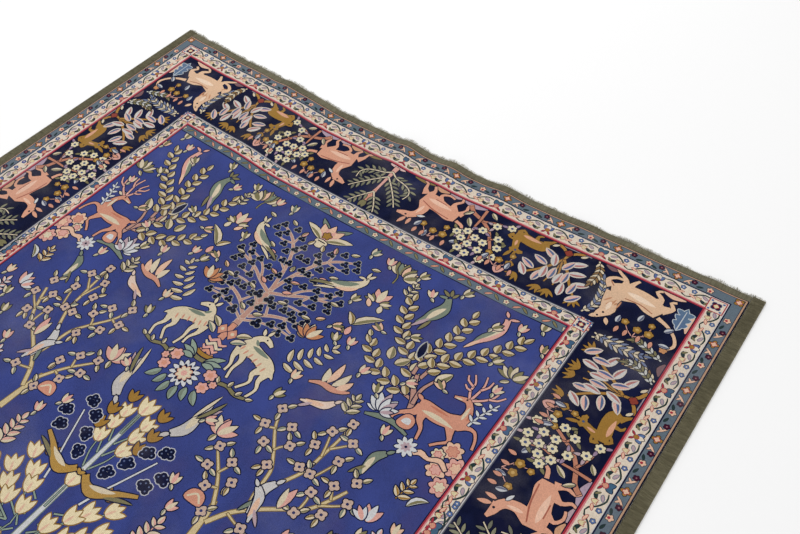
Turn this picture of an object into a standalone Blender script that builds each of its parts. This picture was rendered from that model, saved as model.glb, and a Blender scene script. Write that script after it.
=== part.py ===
"""A hand-knotted wool room rug, lying flat, with a few low ripples at one worn end.

The rug is woven in one length along Y. From the middle outwards it has a knotted pile body, a narrow flat-woven
web at each end, an overcast wool binding down each side, and the worn ends of the warp as a short fringe.
Every piece is laid out on one flat cloth plan, measured across the rug (u) and down from the tips of the top
fringe (s), and place() lays that plan on the floor with the rug's uneven outline and its ripples.
Metres, +Z up. The origin is under the middle of the rug, on the floor.
"""

import math

import bmesh
import bpy

WIDTH = 2.0
LENGTH = 3.0

PILE_THICKNESS = 0.009
PILE_EDGE_THICKNESS = 0.0065
PILE_EDGE_ROUNDING = 0.006
WEB_THICKNESS = 0.004
BINDING_THICKNESS = 0.005
FRINGE_THICKNESS = 0.002

BINDING_WIDTH = 0.034
WEB_WIDTH = 0.024
FRINGE_LENGTH = 0.014
FRINGE_ROOT = 0.004
TUFTS = 40
TUFT_SHARE = 0.7
TUFT_TAPER = 0.15

GAP = 0.0003
SIDE_WAVE = 0.0015
SIDE_WAVE_LENGTH = 1.5

COLUMN = 0.030
BODY_ROWS = (0.0, 0.006, 0.035, 0.070, 0.110, 0.160, 0.230, 0.330, 0.500, 0.800, 1.2, 1.6, 2.0, 2.4, 2.7)

# How far the top end falls short of a straight line: share of the width from the left, fall in metres.
END_FALL = (
    (0.00, 0.000),
    (0.05, 0.007),
    (0.15, 0.017),
    (0.25, 0.025),
    (0.36, 0.041),
    (0.57, 0.041),
    (0.72, 0.035),
    (0.83, 0.024),
    (0.94, 0.020),
    (1.00, 0.013),
)
FALL_HELD_TO = 0.4
FALL_HALVED_BY = 0.8
FALL_GONE_BY = 1.6
FALL_LEFT_IN_MIDDLE = 0.3

# The ripples that run in from the top end: place across, height at the edge, half width, reach inwards.
RIPPLES = (
    (-0.527, 0.006, 0.055, 0.16),
    (-0.054, 0.011, 0.060, 0.24),
    (0.095, 0.009, 0.060, 0.20),
    (0.274, 0.008, 0.075, 0.22),
    (0.500, 0.005, 0.090, 0.18),
    (0.876, 0.004, 0.070, 0.12),
)


def smooth(value):
    """0 below 0, 1 above 1, and an even slope between."""
    value = min(max(value, 0.0), 1.0)
    return value * value * (3.0 - 2.0 * value)


def end_fall(u):
    """How far the top end falls short of its straight line at u."""
    share = u / WIDTH + 0.5
    for (left, fall), (right, next_fall) in zip(END_FALL, END_FALL[1:]):
        if share <= right:
            return fall + (next_fall - fall) * smooth((share - left) / (right - left))
    return END_FALL[-1][1]


def fall_left(s):
    """The share of the end's fall that a row s metres down the rug still follows."""
    first = (1.0 - FALL_LEFT_IN_MIDDLE) * smooth((s - FALL_HELD_TO) / (FALL_HALVED_BY - FALL_HELD_TO))
    second = FALL_LEFT_IN_MIDDLE * smooth((s - FALL_HALVED_BY) / (FALL_GONE_BY - FALL_HALVED_BY))
    return 1.0 - first - second


def ripple_height(u, s):
    """How far the cloth stands off the floor."""
    height = 0.0
    for across, top, half_width, reach in RIPPLES:
        nearness = 1.0 - abs(u - across) / half_width
        height += top * smooth(nearness) * smooth(1.0 - s / reach)
    return height


def place(u, s):
    """The floor position of a point of the cloth plan, and its height off the floor."""
    drawn_in = SIDE_WAVE * (1.0 - math.cos(2.0 * math.pi * s / SIDE_WAVE_LENGTH)) / 2.0
    x = u * (1.0 - drawn_in)
    y = LENGTH / 2.0 - s - end_fall(u) * fall_left(s)
    return x, y, ripple_height(u, s)


def evenly(start, end, step):
    """Positions from start to end, as near to step apart as fits."""
    count = max(1, round((end - start) / step))
    return [start + (end - start) * i / count for i in range(count + 1)]


def wool(name, colour, roughness):
    """A plain wool finish."""
    material = bpy.data.materials.new(name)
    material.use_nodes = True
    shader = material.node_tree.nodes["Principled BSDF"]
    shader.inputs["Base Color"].default_value = (*colour, 1.0)
    shader.inputs["Roughness"].default_value = roughness
    shader.inputs["Metallic"].default_value = 0.0
    return material


def cloth_solid(name, lines, thickness, material):
    """One closed solid from a grid of cloth points: lines of (u, s), each with as many points, in step.

    Neighbouring lines run side by side. thickness(u, s) is the cloth's thickness at a point.
    """
    mesh = bmesh.new()
    under, over = [], []
    for line in lines:
        placed = [(*place(u, s), thickness(u, s)) for u, s in line]
        under.append([mesh.verts.new((x, y, z)) for x, y, z, _ in placed])
        over.append([mesh.verts.new((x, y, z + thick)) for x, y, z, thick in placed])
    for grid in (under, over):
        for line, following in zip(grid, grid[1:]):
            for i in range(len(line) - 1):
                mesh.faces.new((line[i], line[i + 1], following[i + 1], following[i]))
    rims = []
    for grid in (under, over):
        first_side = [line[0] for line in grid]
        last_side = [line[-1] for line in grid]
        rims.append(grid[0] + last_side[1:] + grid[-1][-2::-1] + first_side[-2:0:-1])
    for i in range(len(rims[0])):
        j = (i + 1) % len(rims[0])
        mesh.faces.new((rims[0][i], rims[0][j], rims[1][j], rims[1][i]))
    bmesh.ops.recalc_face_normals(mesh, faces=mesh.faces)
    data = bpy.data.meshes.new(name)
    mesh.to_mesh(data)
    mesh.free()
    data.materials.append(material)
    piece = bpy.data.objects.new(name, data)
    bpy.context.scene.collection.objects.link(piece)
    return piece


def make_pile_body():
    """The knotted body: pile and foundation in one, rounded down where the pile ends."""
    half = WIDTH / 2.0 - BINDING_WIDTH - GAP
    first = FRINGE_LENGTH + WEB_WIDTH + GAP
    last = LENGTH - first
    columns = evenly(-half + PILE_EDGE_ROUNDING, half - PILE_EDGE_ROUNDING, COLUMN)
    columns = [-half, *columns, half]
    rows = [first + step for step in BODY_ROWS] + [last - PILE_EDGE_ROUNDING, last]

    def thickness(u, s):
        inside = min(half - abs(u), s - first, last - s)
        rise = smooth(inside / PILE_EDGE_ROUNDING)
        return PILE_EDGE_THICKNESS + (PILE_THICKNESS - PILE_EDGE_THICKNESS) * rise

    lines = [[(u, s) for u in columns] for s in rows]
    cloth_solid("pile_body", lines, thickness, wool("wool_pile", (0.045, 0.055, 0.19), 0.95))


def make_end_web(name, first, last, material):
    """A flat-woven strip that keeps the knots from working loose, at one end of the rug."""
    half = WIDTH / 2.0 - BINDING_WIDTH - GAP
    columns = evenly(-half, half, COLUMN)
    lines = [[(u, s) for u in columns] for s in (first, last)]
    cloth_solid(name, lines, lambda u, s: WEB_THICKNESS, material)


def make_binding(name, side, material):
    """A band of edge cords overcast with wool, down one side of the rug from web to web."""
    outer = side * WIDTH / 2.0
    inner = outer - side * BINDING_WIDTH
    start = FRINGE_LENGTH + GAP
    body_start = FRINGE_LENGTH + WEB_WIDTH + GAP
    rows = [start] + [body_start + step for step in BODY_ROWS] + [LENGTH - start]
    lines = [[(min(outer, inner), s), (max(outer, inner), s)] for s in rows]
    cloth_solid(name, lines, lambda u, s: BINDING_THICKNESS, material)


def make_fringe(name, root, tip, material):
    """The worn warp ends along one end of the rug: one comb, a short tapered tooth for each tuft."""
    toward_tip = 1.0 if tip > root else -1.0
    valley = root + toward_tip * FRINGE_ROOT
    pitch = WIDTH / TUFTS
    spine, edge = [], []
    for tuft in range(TUFTS):
        left = -WIDTH / 2.0 + pitch * tuft
        shoulder = pitch * (1.0 - TUFT_SHARE) / 2.0
        taper = pitch * TUFT_TAPER
        outline = (
            (left, valley),
            (left + shoulder, valley),
            (left + shoulder + taper, tip),
            (left + pitch - shoulder - taper, tip),
            (left + pitch - shoulder, valley),
        )
        for u, s in outline:
            spine.append((u, root))
            edge.append((u, s))
    spine.append((WIDTH / 2.0, root))
    edge.append((WIDTH / 2.0, valley))
    cloth_solid(name, [spine, edge], lambda u, s: FRINGE_THICKNESS, material)


def main():
    for leftover in list(bpy.data.objects):
        bpy.data.objects.remove(leftover)
    web_wool = wool("web_wool", (0.17, 0.165, 0.125), 0.95)
    binding_wool = wool("binding_wool", (0.16, 0.155, 0.115), 0.9)
    warp = wool("warp_ends", (0.40, 0.37, 0.31), 0.95)
    web_start = FRINGE_LENGTH + GAP
    web_end = FRINGE_LENGTH + WEB_WIDTH

    make_pile_body()
    make_end_web("end_web_top", web_start, web_end, web_wool)
    make_end_web("end_web_bottom", LENGTH - web_end, LENGTH - web_start, web_wool)
    make_binding("binding_left", -1.0, binding_wool)
    make_binding("binding_right", 1.0, binding_wool)
    make_fringe("fringe_top", FRINGE_LENGTH, 0.0, warp)
    make_fringe("fringe_bottom", LENGTH - FRINGE_LENGTH, LENGTH, warp)


main()
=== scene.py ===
"""A hand-knotted wool garden rug, two metres by three, lying on a pale studio floor.

The file follows the rug as it is made: the cotton foundation on its floor plan, then the knotted pile zone by
zone from the field out to the guard borders, then the flat-woven ends, the overcast sides and the worn warp ends.
Each zone of pile is drawn first as a cartoon, the knotter's coloured drawing, in millimetres, and then knotted.
"""
import math

import bmesh
import bpy
import numpy as np
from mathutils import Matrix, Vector
from mathutils.geometry import delaunay_2d_cdt


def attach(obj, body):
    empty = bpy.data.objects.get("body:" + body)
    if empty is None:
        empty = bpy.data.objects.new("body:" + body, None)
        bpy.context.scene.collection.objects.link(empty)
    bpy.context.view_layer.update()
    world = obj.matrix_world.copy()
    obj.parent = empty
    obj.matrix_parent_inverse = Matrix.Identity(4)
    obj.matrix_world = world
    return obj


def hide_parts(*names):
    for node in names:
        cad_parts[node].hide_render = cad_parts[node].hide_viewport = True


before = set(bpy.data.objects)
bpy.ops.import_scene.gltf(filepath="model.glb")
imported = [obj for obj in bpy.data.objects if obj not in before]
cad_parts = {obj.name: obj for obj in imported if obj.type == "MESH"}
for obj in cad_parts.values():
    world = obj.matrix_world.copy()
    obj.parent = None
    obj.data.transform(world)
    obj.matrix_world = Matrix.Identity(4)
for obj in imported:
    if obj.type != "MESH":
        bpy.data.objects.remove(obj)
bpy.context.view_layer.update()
scene = bpy.context.scene

# ---- The studio ------------------------------------------------------------------------------------------------
# A viewer stands at the rug's right side and looks down across it towards the far left corner. The floor is a
# plain pale sheet under even daylight from large soft sources.

EYE = (1.056, -0.181, 1.732)
AIM = (0.185, 1.039, 0.0)
LENS_MM = 39.84
FLOOR_SIDE = 24.0
DAYLIGHT = 0.80
SOFTBOXES = (("key_softbox", (-1.8, 2.6, 3.0), 4.0, 52.0), ("fill_softbox", (2.6, -2.4, 3.2), 4.0, 16.0))

camera = bpy.data.objects.new("viewer", bpy.data.cameras.new("viewer"))
camera.data.lens = LENS_MM
camera.location = EYE
camera.rotation_euler = (Vector(AIM) - Vector(EYE)).to_track_quat("-Z", "Y").to_euler()
scene.collection.objects.link(camera)
scene.camera = camera
scene.view_settings.view_transform = "Standard"

world = bpy.data.worlds.new("daylight")
world.use_nodes = True
world.node_tree.nodes["Background"].inputs["Color"].default_value = (1.0, 1.0, 1.0, 1.0)
world.node_tree.nodes["Background"].inputs["Strength"].default_value = DAYLIGHT
scene.world = world
for name, place_at, side, watts in SOFTBOXES:
    softbox = bpy.data.lights.new(name, "AREA")
    softbox.size = side
    softbox.energy = watts
    stand = bpy.data.objects.new(name, softbox)
    stand.location = place_at
    stand.rotation_euler = (Vector((0.0, 0.3, 0.0)) - Vector(place_at)).to_track_quat("-Z", "Y").to_euler()
    scene.collection.objects.link(stand)

floor_mesh = bpy.data.meshes.new("floor")
half_floor = FLOOR_SIDE / 2.0
floor_corners = [(-half_floor, -half_floor, 0), (half_floor, -half_floor, 0), (half_floor, half_floor, 0)]
floor_mesh.from_pydata([*floor_corners, (-half_floor, half_floor, 0)], [], [(0, 1, 2, 3)])
floor = bpy.data.objects.new("floor", floor_mesh)
floor_finish = bpy.data.materials.new("pale_floor")
floor_finish.use_nodes = True
floor_shader = floor_finish.node_tree.nodes["Principled BSDF"]
floor_shader.inputs["Base Color"].default_value = (0.95, 0.95, 0.95, 1.0)
floor_shader.inputs["Roughness"].default_value = 0.9
floor_shader.inputs["Specular IOR Level"].default_value = 0.1
floor_mesh.materials.append(floor_finish)
scene.collection.objects.link(floor)

# ---- The foundation --------------------------------------------------------------------------------------------
# Cotton warps run the length of the rug and cotton wefts cross them; the pile is knotted on to them, so the back
# shows the knots as small ridged beads. Its plan also says how the whole rug lies: one end pulled in unevenly by
# the loom, low ripples running in from that end, and a centre line that wandered as the rug grew.

WIDTH, LENGTH = 2.0, 3.0
BINDING_WIDTH, WEB_WIDTH, FRINGE_LENGTH = 0.034, 0.024, 0.014
PILE_HEIGHT = 0.009
FOUNDATION_THICKNESS = 0.0025
CLEARANCE = 0.0003
PILE_HALF_WIDTH = WIDTH / 2.0 - BINDING_WIDTH - CLEARANCE
PILE_START = FRINGE_LENGTH + WEB_WIDTH + CLEARANCE
SIDE_WAVE, SIDE_WAVE_LENGTH = 0.0015, 1.5
CENTRE_WANDER = 0.031
# How far the far end falls short of a straight line: share of the width from the left, fall.
END_FALL = np.array((
    (0.00, 0.000), (0.05, 0.007), (0.15, 0.017), (0.25, 0.025), (0.36, 0.041),
    (0.57, 0.041), (0.72, 0.035), (0.83, 0.024), (0.94, 0.020), (1.00, 0.013),
))
FALL_HELD_TO, FALL_HALVED_BY, FALL_GONE_BY, FALL_LEFT_IN_MIDDLE = 0.4, 0.8, 1.6, 0.3
# The ripples at the far end: place across, height at the edge, half width, reach inwards.
RIPPLES = (
    (-0.527, 0.006, 0.055, 0.16), (-0.054, 0.011, 0.060, 0.24), (0.095, 0.009, 0.060, 0.20),
    (0.274, 0.008, 0.075, 0.22), (0.500, 0.005, 0.090, 0.18), (0.876, 0.004, 0.070, 0.12),
)


def smooth(value):
    """0 below 0, 1 above 1, and an even slope between."""
    value = np.clip(value, 0.0, 1.0)
    return value * value * (3.0 - 2.0 * value)


def end_fall(x):
    """How far the far end falls short of its straight line at x."""
    share = np.clip(x / WIDTH + 0.5, 0.0, 1.0)
    row = np.clip(np.searchsorted(END_FALL[:, 0], share) - 1, 0, len(END_FALL) - 2)
    left, right = END_FALL[row], END_FALL[row + 1]
    along = (share - left[..., 0]) / (right[..., 0] - left[..., 0])
    return left[..., 1] + (right[..., 1] - left[..., 1]) * smooth(along)


def place(u, s):
    """The floor position of points of the cloth plan, and the cloth's height off the floor there."""
    u, s = np.asarray(u, float), np.asarray(s, float)
    drawn_in = SIDE_WAVE * (1.0 - np.cos(2.0 * math.pi * s / SIDE_WAVE_LENGTH)) / 2.0
    x = (u - CENTRE_WANDER * (1.0 - np.abs(u))) * (1.0 - drawn_in)
    kept = 1.0 - (1.0 - FALL_LEFT_IN_MIDDLE) * smooth((s - FALL_HELD_TO) / (FALL_HALVED_BY - FALL_HELD_TO))
    kept = kept - FALL_LEFT_IN_MIDDLE * smooth((s - FALL_HALVED_BY) / (FALL_GONE_BY - FALL_HALVED_BY))
    y = LENGTH / 2.0 - s - end_fall(x) * kept
    lift = np.zeros(x.shape)
    for across, height, half_width, reach in RIPPLES:
        lift += height * smooth(1.0 - np.abs(x - across) / half_width) * smooth(1.0 - s / reach)
    return x, y, lift


class Shade:
    """A shader socket that can be reckoned with: expressions on it add Math nodes to its tree."""

    def __init__(self, tree, socket):
        self.tree, self.socket = tree, socket

    def node(self, kind, settings=None, out=0, **values):
        """A node of this tree, with its settings and its sockets' values or links, and one of its outputs."""
        added = self.tree.nodes.new(kind)
        for setting, value in (settings or {}).items():
            if setting == "stops":
                while len(added.color_ramp.elements) < len(value):
                    added.color_ramp.elements.new(0.5)
                for element, (position, colour) in zip(added.color_ramp.elements, value):
                    element.position, element.color = position, colour
            else:
                setattr(added, setting, value)
        for label, value in values.items():
            socket = added.inputs[int(label[1:])] if label[1:].isdigit() else added.inputs[label.replace("_", " ")]
            if isinstance(value, Shade):
                self.tree.links.new(value.socket, socket)
            else:
                socket.default_value = value
        return Shade(self.tree, added.outputs[out])

    def math(self, operation, *others):
        values = {f"i{i}": value for i, value in enumerate((self, *others))}
        return self.node("ShaderNodeMath", {"operation": operation}, **values)

    def __add__(self, other):
        return self.math("ADD", other)

    __radd__ = __add__

    def __mul__(self, other):
        return self.math("MULTIPLY", other)

    __rmul__ = __mul__

    def __sub__(self, other):
        return self.math("SUBTRACT", other)

    def __rsub__(self, other):
        return self * -1.0 + other

    def __truediv__(self, other):
        return self.math("DIVIDE", other)

    def mixed(self, factor, other, how="MIX"):
        """This colour turned towards another."""
        settings = {"data_type": "RGBA", "blend_type": how}
        return self.node("ShaderNodeMix", settings, out=2, i0=factor, i6=self, i7=other)


def begin_finish(name):
    """A new material: its Principled shader, and its Object coordinates as three Shades and a vector."""
    finish = bpy.data.materials.new(name)
    finish.use_nodes = True
    tree = finish.node_tree
    shader = tree.nodes["Principled BSDF"]
    start = Shade(tree, tree.nodes.new("ShaderNodeTexCoord").outputs["Object"])
    x, y, z = (start.node("ShaderNodeSeparateXYZ", out=i, Vector=start) for i in range(3))
    return finish, shader, start, x, y, z


def end_finish(shader, colour, roughness, height, distance, sheen, specular=0.2):
    """The colour, roughness and relief of a wool or cotton surface joined to its shader."""
    tree = colour.tree
    tree.links.new(colour.socket, shader.inputs["Base Color"])
    tree.links.new(roughness.socket, shader.inputs["Roughness"])
    relief = colour.node("ShaderNodeBump", Height=height, Distance=distance, Strength=1.0)
    tree.links.new(relief.socket, shader.inputs["Normal"])
    shader.inputs["Sheen Weight"].default_value = sheen
    shader.inputs["Sheen Roughness"].default_value = 0.45
    shader.inputs["Specular IOR Level"].default_value = specular


def noise(where, scale, detail=2.0, roughness=0.5):
    return where.node("ShaderNodeTexNoise", Vector=where, Scale=scale, Detail=detail, Roughness=roughness)


def stretched(where, x, y, z, factors):
    """The place with each direction scaled by its own factor."""
    parts = {"X": x * factors[0], "Y": y * factors[1], "Z": z * factors[2]}
    return where.node("ShaderNodeCombineXYZ", **parts)


KNOT_ACROSS, KNOT_ALONG = 0.0022, 0.0025


def knots(where, x, y):
    """The rows of knots: how high each stands from its edges to its middle, and a random number for each."""
    across, along = x / KNOT_ACROSS, y / KNOT_ALONG
    column, row = across.math("FLOOR"), along.math("FLOOR")
    cell = where.node("ShaderNodeCombineXYZ", X=column, Y=row, Z=0.0)
    lot = where.node("ShaderNodeTexWhiteNoise", {"noise_dimensions": "2D"}, Vector=cell)
    beside = (across - column - 0.5).math("ABSOLUTE") * 2.0
    between = (along - row - 0.5).math("ABSOLUTE") * 2.0
    crown = (1.0 - beside * beside) * 0.4 + (1.0 - between * between) * 0.6
    return crown, lot


def knotted_back():
    """The back: each knot a bead of its own colour, greyed by the cotton between the rows."""
    finish, shader, where, x, y, z = begin_finish("knotted_back")
    crown, lot = knots(where, x, y)
    from_side = 1.0 - x.math("ABSOLUTE")
    from_end = LENGTH / 2.0 - y.math("ABSOLUTE")
    depth = from_side.math("MINIMUM", from_end)
    stops = (
        (0.0, (0.10, 0.11, 0.13, 1.0)), (0.034, (0.12, 0.15, 0.18, 1.0)), (0.07, (0.50, 0.42, 0.34, 1.0)),
        (0.12, (0.02, 0.025, 0.06, 1.0)), (0.31, (0.50, 0.42, 0.34, 1.0)), (0.36, (0.045, 0.05, 0.16, 1.0)),
    )
    zones = where.node("ShaderNodeValToRGB", {"stops": stops}, Fac=depth)
    speckle = noise(where, 60.0, 3.0)
    colour = zones.mixed(speckle.math("GREATER_THAN", 0.56) * 0.45, (0.42, 0.30, 0.20, 1.0))
    colour = colour.mixed((1.0 - crown) * 0.35, (0.45, 0.42, 0.36, 1.0))
    colour = colour.mixed(lot * 0.2, (0.02, 0.02, 0.03, 1.0))
    end_finish(shader, colour, 0.86 + lot * 0.1, crown, 0.0006, 0.1)
    return finish


def slab(name, us, rows, bottom, top, finish):
    """A closed piece of cloth over a grid of the plan, from its bottom to its top, whose edge it is safe to see."""
    us, rows = np.asarray(us), np.asarray(rows)
    u, s = np.meshgrid(us, rows)
    x, y, lift = place(u, s)
    low = np.stack([x, y, lift + bottom(u, s)], -1).reshape(-1, 3)
    high = np.stack([x, y, lift + top(u, s)], -1).reshape(-1, 3)
    mesh = bmesh.new()
    count, wide = len(rows), len(us)
    under = [mesh.verts.new(p) for p in low]
    over = [mesh.verts.new(p) for p in high]
    for j in range(count - 1):
        for i in range(wide - 1):
            a, b, c, d = j * wide + i, j * wide + i + 1, (j + 1) * wide + i + 1, (j + 1) * wide + i
            mesh.faces.new((over[d], over[c], over[b], over[a]))
            mesh.faces.new((under[a], under[b], under[c], under[d]))
    rim = [i for i in range(wide)] + [j * wide + wide - 1 for j in range(1, count)]
    rim += [(count - 1) * wide + i for i in range(wide - 2, -1, -1)] + [j * wide for j in range(count - 2, 0, -1)]
    for i, j in zip(rim, rim[1:] + rim[:1]):
        mesh.faces.new((over[i], over[j], under[j], under[i]))
    bmesh.ops.recalc_face_normals(mesh, faces=mesh.faces)
    data = bpy.data.meshes.new(name)
    mesh.to_mesh(data)
    mesh.free()
    data.materials.append(finish)
    piece = bpy.data.objects.new(name, data)
    scene.collection.objects.link(piece)
    return piece


def steps(start, end, step):
    """Places from start to end, as near to step apart as fits."""
    return np.linspace(start, end, max(1, round(abs(end - start) / step)) + 1)


far_rows = steps(PILE_START, 0.32, 0.02)
other_rows = steps(0.32, LENGTH - PILE_START, 0.1)[1:]
foundation = slab(
    "foundation",
    steps(-PILE_HALF_WIDTH, PILE_HALF_WIDTH, 0.02),
    [*far_rows, *other_rows],
    lambda u, s: 0.0,
    lambda u, s: FOUNDATION_THICKNESS,
    knotted_back(),
)

# ---- The field -------------------------------------------------------------------------------------------------
# The middle of the pile: a deep blue garden of trees, birds and grazing animals, knotted in wool. A cartoon gives
# one quarter of it, and the knotter repeats that quarter in all four corners, as in most workshop rugs.

NAVY, INK = (13, 19, 48), (10, 14, 34)
FIELD_BLUE, BRIGHT_BLUE = (57, 67, 126), (58, 78, 150)
CREAM, IVORY, WHITE = (212, 197, 170), (224, 210, 190), (205, 205, 206)
OLIVE, OLIVE_GOLD, GREY_GREEN = (125, 118, 85), (134, 112, 66), (120, 130, 115)
GOLD, SALMON, PEACH, PINK = (156, 117, 54), (205, 145, 122), (222, 182, 156), (215, 162, 150)
LILAC, BLUE_LEAF, LIGHT_GREEN = (178, 154, 160), (92, 120, 150), (140, 155, 140)
BARK, BROWN, PALE_YELLOW = (182, 140, 126), (150, 96, 72), (214, 200, 158)
CORNER_SUM = 1004.0
PILE_EDGE_A, PILE_EDGE_S, MIDDLE_S = 965.7, 38.3, 1500.0
FRAME_STEP = 20.0
FIELD_DEPTH = 324.0
CONTOUR_MM = 2.4
PILE_ROUNDING_MM, PILE_EDGE_DROP = 6.0, 0.0025


def linear(colour):
    """A dye's screen colour as the light it gives back, red, green and blue from 0 to 1."""
    share = np.asarray(colour, float) / 255.0
    return np.where(share <= 0.04045, share / 12.92, ((share + 0.055) / 1.055) ** 2.4)


def curve(points, closed=False, step=6.0):
    """A smooth line through points, as points about step apart. Other columns, such as widths, run along with it."""
    points = np.asarray(points, float)
    if closed:
        ring = np.vstack([points[-1], points, points[0], points[1]])
    else:
        ring = np.vstack([2 * points[0] - points[1], points, 2 * points[-1] - points[-2]])
    found = []
    for a, b, c, d in zip(ring, ring[1:], ring[2:], ring[3:]):
        count = max(1, round(float(np.hypot(*(c - b)[:2])) / step))
        t = (np.arange(count) / count)[:, None]
        bent = (c - a) * t + (2 * a - 5 * b + 4 * c - d) * t**2 + (3 * b - a - 3 * c + d) * t**3
        found.append(b + bent / 2)
    return np.vstack(found if closed else [*found, points[-1:]])


def blob(*points, step=7.0):
    """A closed smooth outline through points."""
    return curve(points, closed=True, step=step)


def limb(*stations, step=8.0):
    """A ribbon along a smooth line through stations, each (across, down, width)."""
    line = curve(stations, step=step)
    middle, half = line[:, :2], line[:, 2:3] / 2
    run = np.gradient(middle, axis=0)
    run /= np.maximum(np.hypot(run[:, 0], run[:, 1]), 1e-6)[:, None]
    beside = np.stack([-run[:, 1], run[:, 0]], 1)
    return np.vstack([middle + beside * half, (middle - beside * half)[::-1]])


def stem(width, *points, thin=0.6, step=10.0):
    """A limb that thins evenly to a share of its width."""
    last = max(1, len(points) - 1)
    return limb(*((a, s, width * (1 - (1 - thin) * i / last)) for i, (a, s) in enumerate(points)), step=step)


def leaf(base, tip, width, bend=0.0, side=0):
    """A leaf pointed at both ends, bent sideways. Side 1 or -1 is the half to that side of its rib."""
    base, tip = np.asarray(base, float), np.asarray(tip, float)
    axis = tip - base
    across = np.array([-axis[1], axis[0]]) / max(float(np.hypot(*axis)), 1e-6)
    share = np.array([0.0, 0.1, 0.28, 0.5, 0.72, 0.9, 1.0])[:, None]
    rib = base + axis * share + across * (bend * 4 * share * (1 - share))
    swell = across * width / 2 * np.sin(math.pi * share**0.85) ** 0.8
    left, right = rib + swell * (side >= 0), rib - swell * (side <= 0)
    return np.vstack([left, right[-2:0:-1]])


def toward(base, angle, length):
    """The point that far from base. Angle 0 is towards the far end, and 90 away from the middle line."""
    turn = math.radians(angle)
    return base[0] + length * math.sin(turn), base[1] - length * math.cos(turn)


def fan(base, length, width, *angles):
    """Leaves spread from one point."""
    return [leaf(base, toward(base, angle, length), width) for angle in angles]


def disc(centre, radius, sides=10):
    turn = np.arange(sides) / sides * 2 * math.pi
    return np.asarray(centre, float) + radius * np.stack([np.cos(turn), np.sin(turn)], 1)


def flower(centre, radius, petals, depth=0.35, turn=0.0):
    """A flower seen from above, notched between its petals."""
    turns = (np.arange(petals * 4) / (petals * 4)) * 2 * math.pi
    reach = radius * (1 - depth * (0.5 - 0.5 * np.cos(petals * turns)) ** 1.5)
    turns = turns + math.radians(turn)
    return np.asarray(centre, float) + np.stack([np.sin(turns), -np.cos(turns)], 1) * reach[:, None]


def widened(outline, by):
    """An outline moved outwards by a distance."""
    before, after = outline - np.roll(outline, 1, 0), np.roll(outline, -1, 0) - outline
    turns = [np.stack([e[:, 1], -e[:, 0]], 1) / np.maximum(np.hypot(e[:, 0], e[:, 1]), 1e-6)[:, None]
             for e in (before, after)]
    area = np.sum(outline[:, 0] * np.roll(outline[:, 1], -1) - outline[:, 1] * np.roll(outline[:, 0], -1))
    out = turns[0] + turns[1]
    size = np.maximum(np.hypot(out[:, 0], out[:, 1]), 0.9)[:, None]
    return outline + out / size * by * (1.15 if area > 0 else -1.15)


class Cartoon:
    """One quarter of one zone, in millimetres from the middle line and down from the far end.

    It is a list of closed outlines with their dyes, and each lies over the ones before it.
    """

    def __init__(self):
        self.laid = []

    def lay(self, colour, *outlines):
        self.laid += [(np.asarray(outline, float), colour) for outline in outlines]

    def figure(self, *parts, contour=NAVY, by=CONTOUR_MM):
        """A motif: parts, each a dye and its outlines, on one contour round them all."""
        for part in parts:
            self.lay(contour, *(widened(np.asarray(outline, float), by) for outline in part[1:]))
        for part in parts:
            self.lay(*part)

    def leafy(self, base, tip, width, light, dark, bend=0.0, contour=NAVY):
        """A leaf in two tones, one on each side of its rib."""
        self.figure((light, leaf(base, tip, width, bend)), contour=contour)
        self.lay(dark, leaf(base, tip, width * 0.86, bend, side=1))

    def frame(self, colour, depth):
        """Everything more than depth inside the edge of the pile."""
        right, top = PILE_EDGE_A - depth, PILE_EDGE_S + depth
        across = steps(-30.0, right, FRAME_STEP)
        down = steps(top, MIDDLE_S + 30.0, FRAME_STEP)
        corners = [(a, top) for a in across] + [(right, s) for s in down[1:]]
        self.lay(colour, np.array([*corners, (-30.0, MIDDLE_S + 30.0)]))


def inside(points, outline):
    """Which points an outline winds round."""
    start, end = outline, np.roll(outline, -1, 0)
    px, py = points[:, 0:1], points[:, 1:2]
    rising = (start[:, 1] <= py) & (end[:, 1] > py)
    falling = (start[:, 1] > py) & (end[:, 1] <= py)
    turn = (end[:, 0] - start[:, 0]) * (py - start[:, 1]) - (px - start[:, 0]) * (end[:, 1] - start[:, 1])
    return (np.sum(rising & (turn > 0), 1) - np.sum(falling & (turn < 0), 1)) != 0


def cut(outlines, loose):
    """Points and triangles that follow every outline, crossing ones too, with loose points among them."""
    points, edges = [], []
    for outline in outlines:
        first, count = len(points), len(outline)
        points += [Vector((float(a), float(s))) for a, s in outline]
        edges += [(first + i, first + (i + 1) % count) for i in range(count)]
    points += [Vector((float(a), float(s))) for a, s in loose]
    found = delaunay_2d_cdt(points, edges, [], 0, 0.01, False)
    return np.array([tuple(p) for p in found[0]]), np.array(found[2])


def depth_of(points):
    return np.minimum(PILE_EDGE_A - points[:, 0], points[:, 1] - PILE_EDGE_S)


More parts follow.
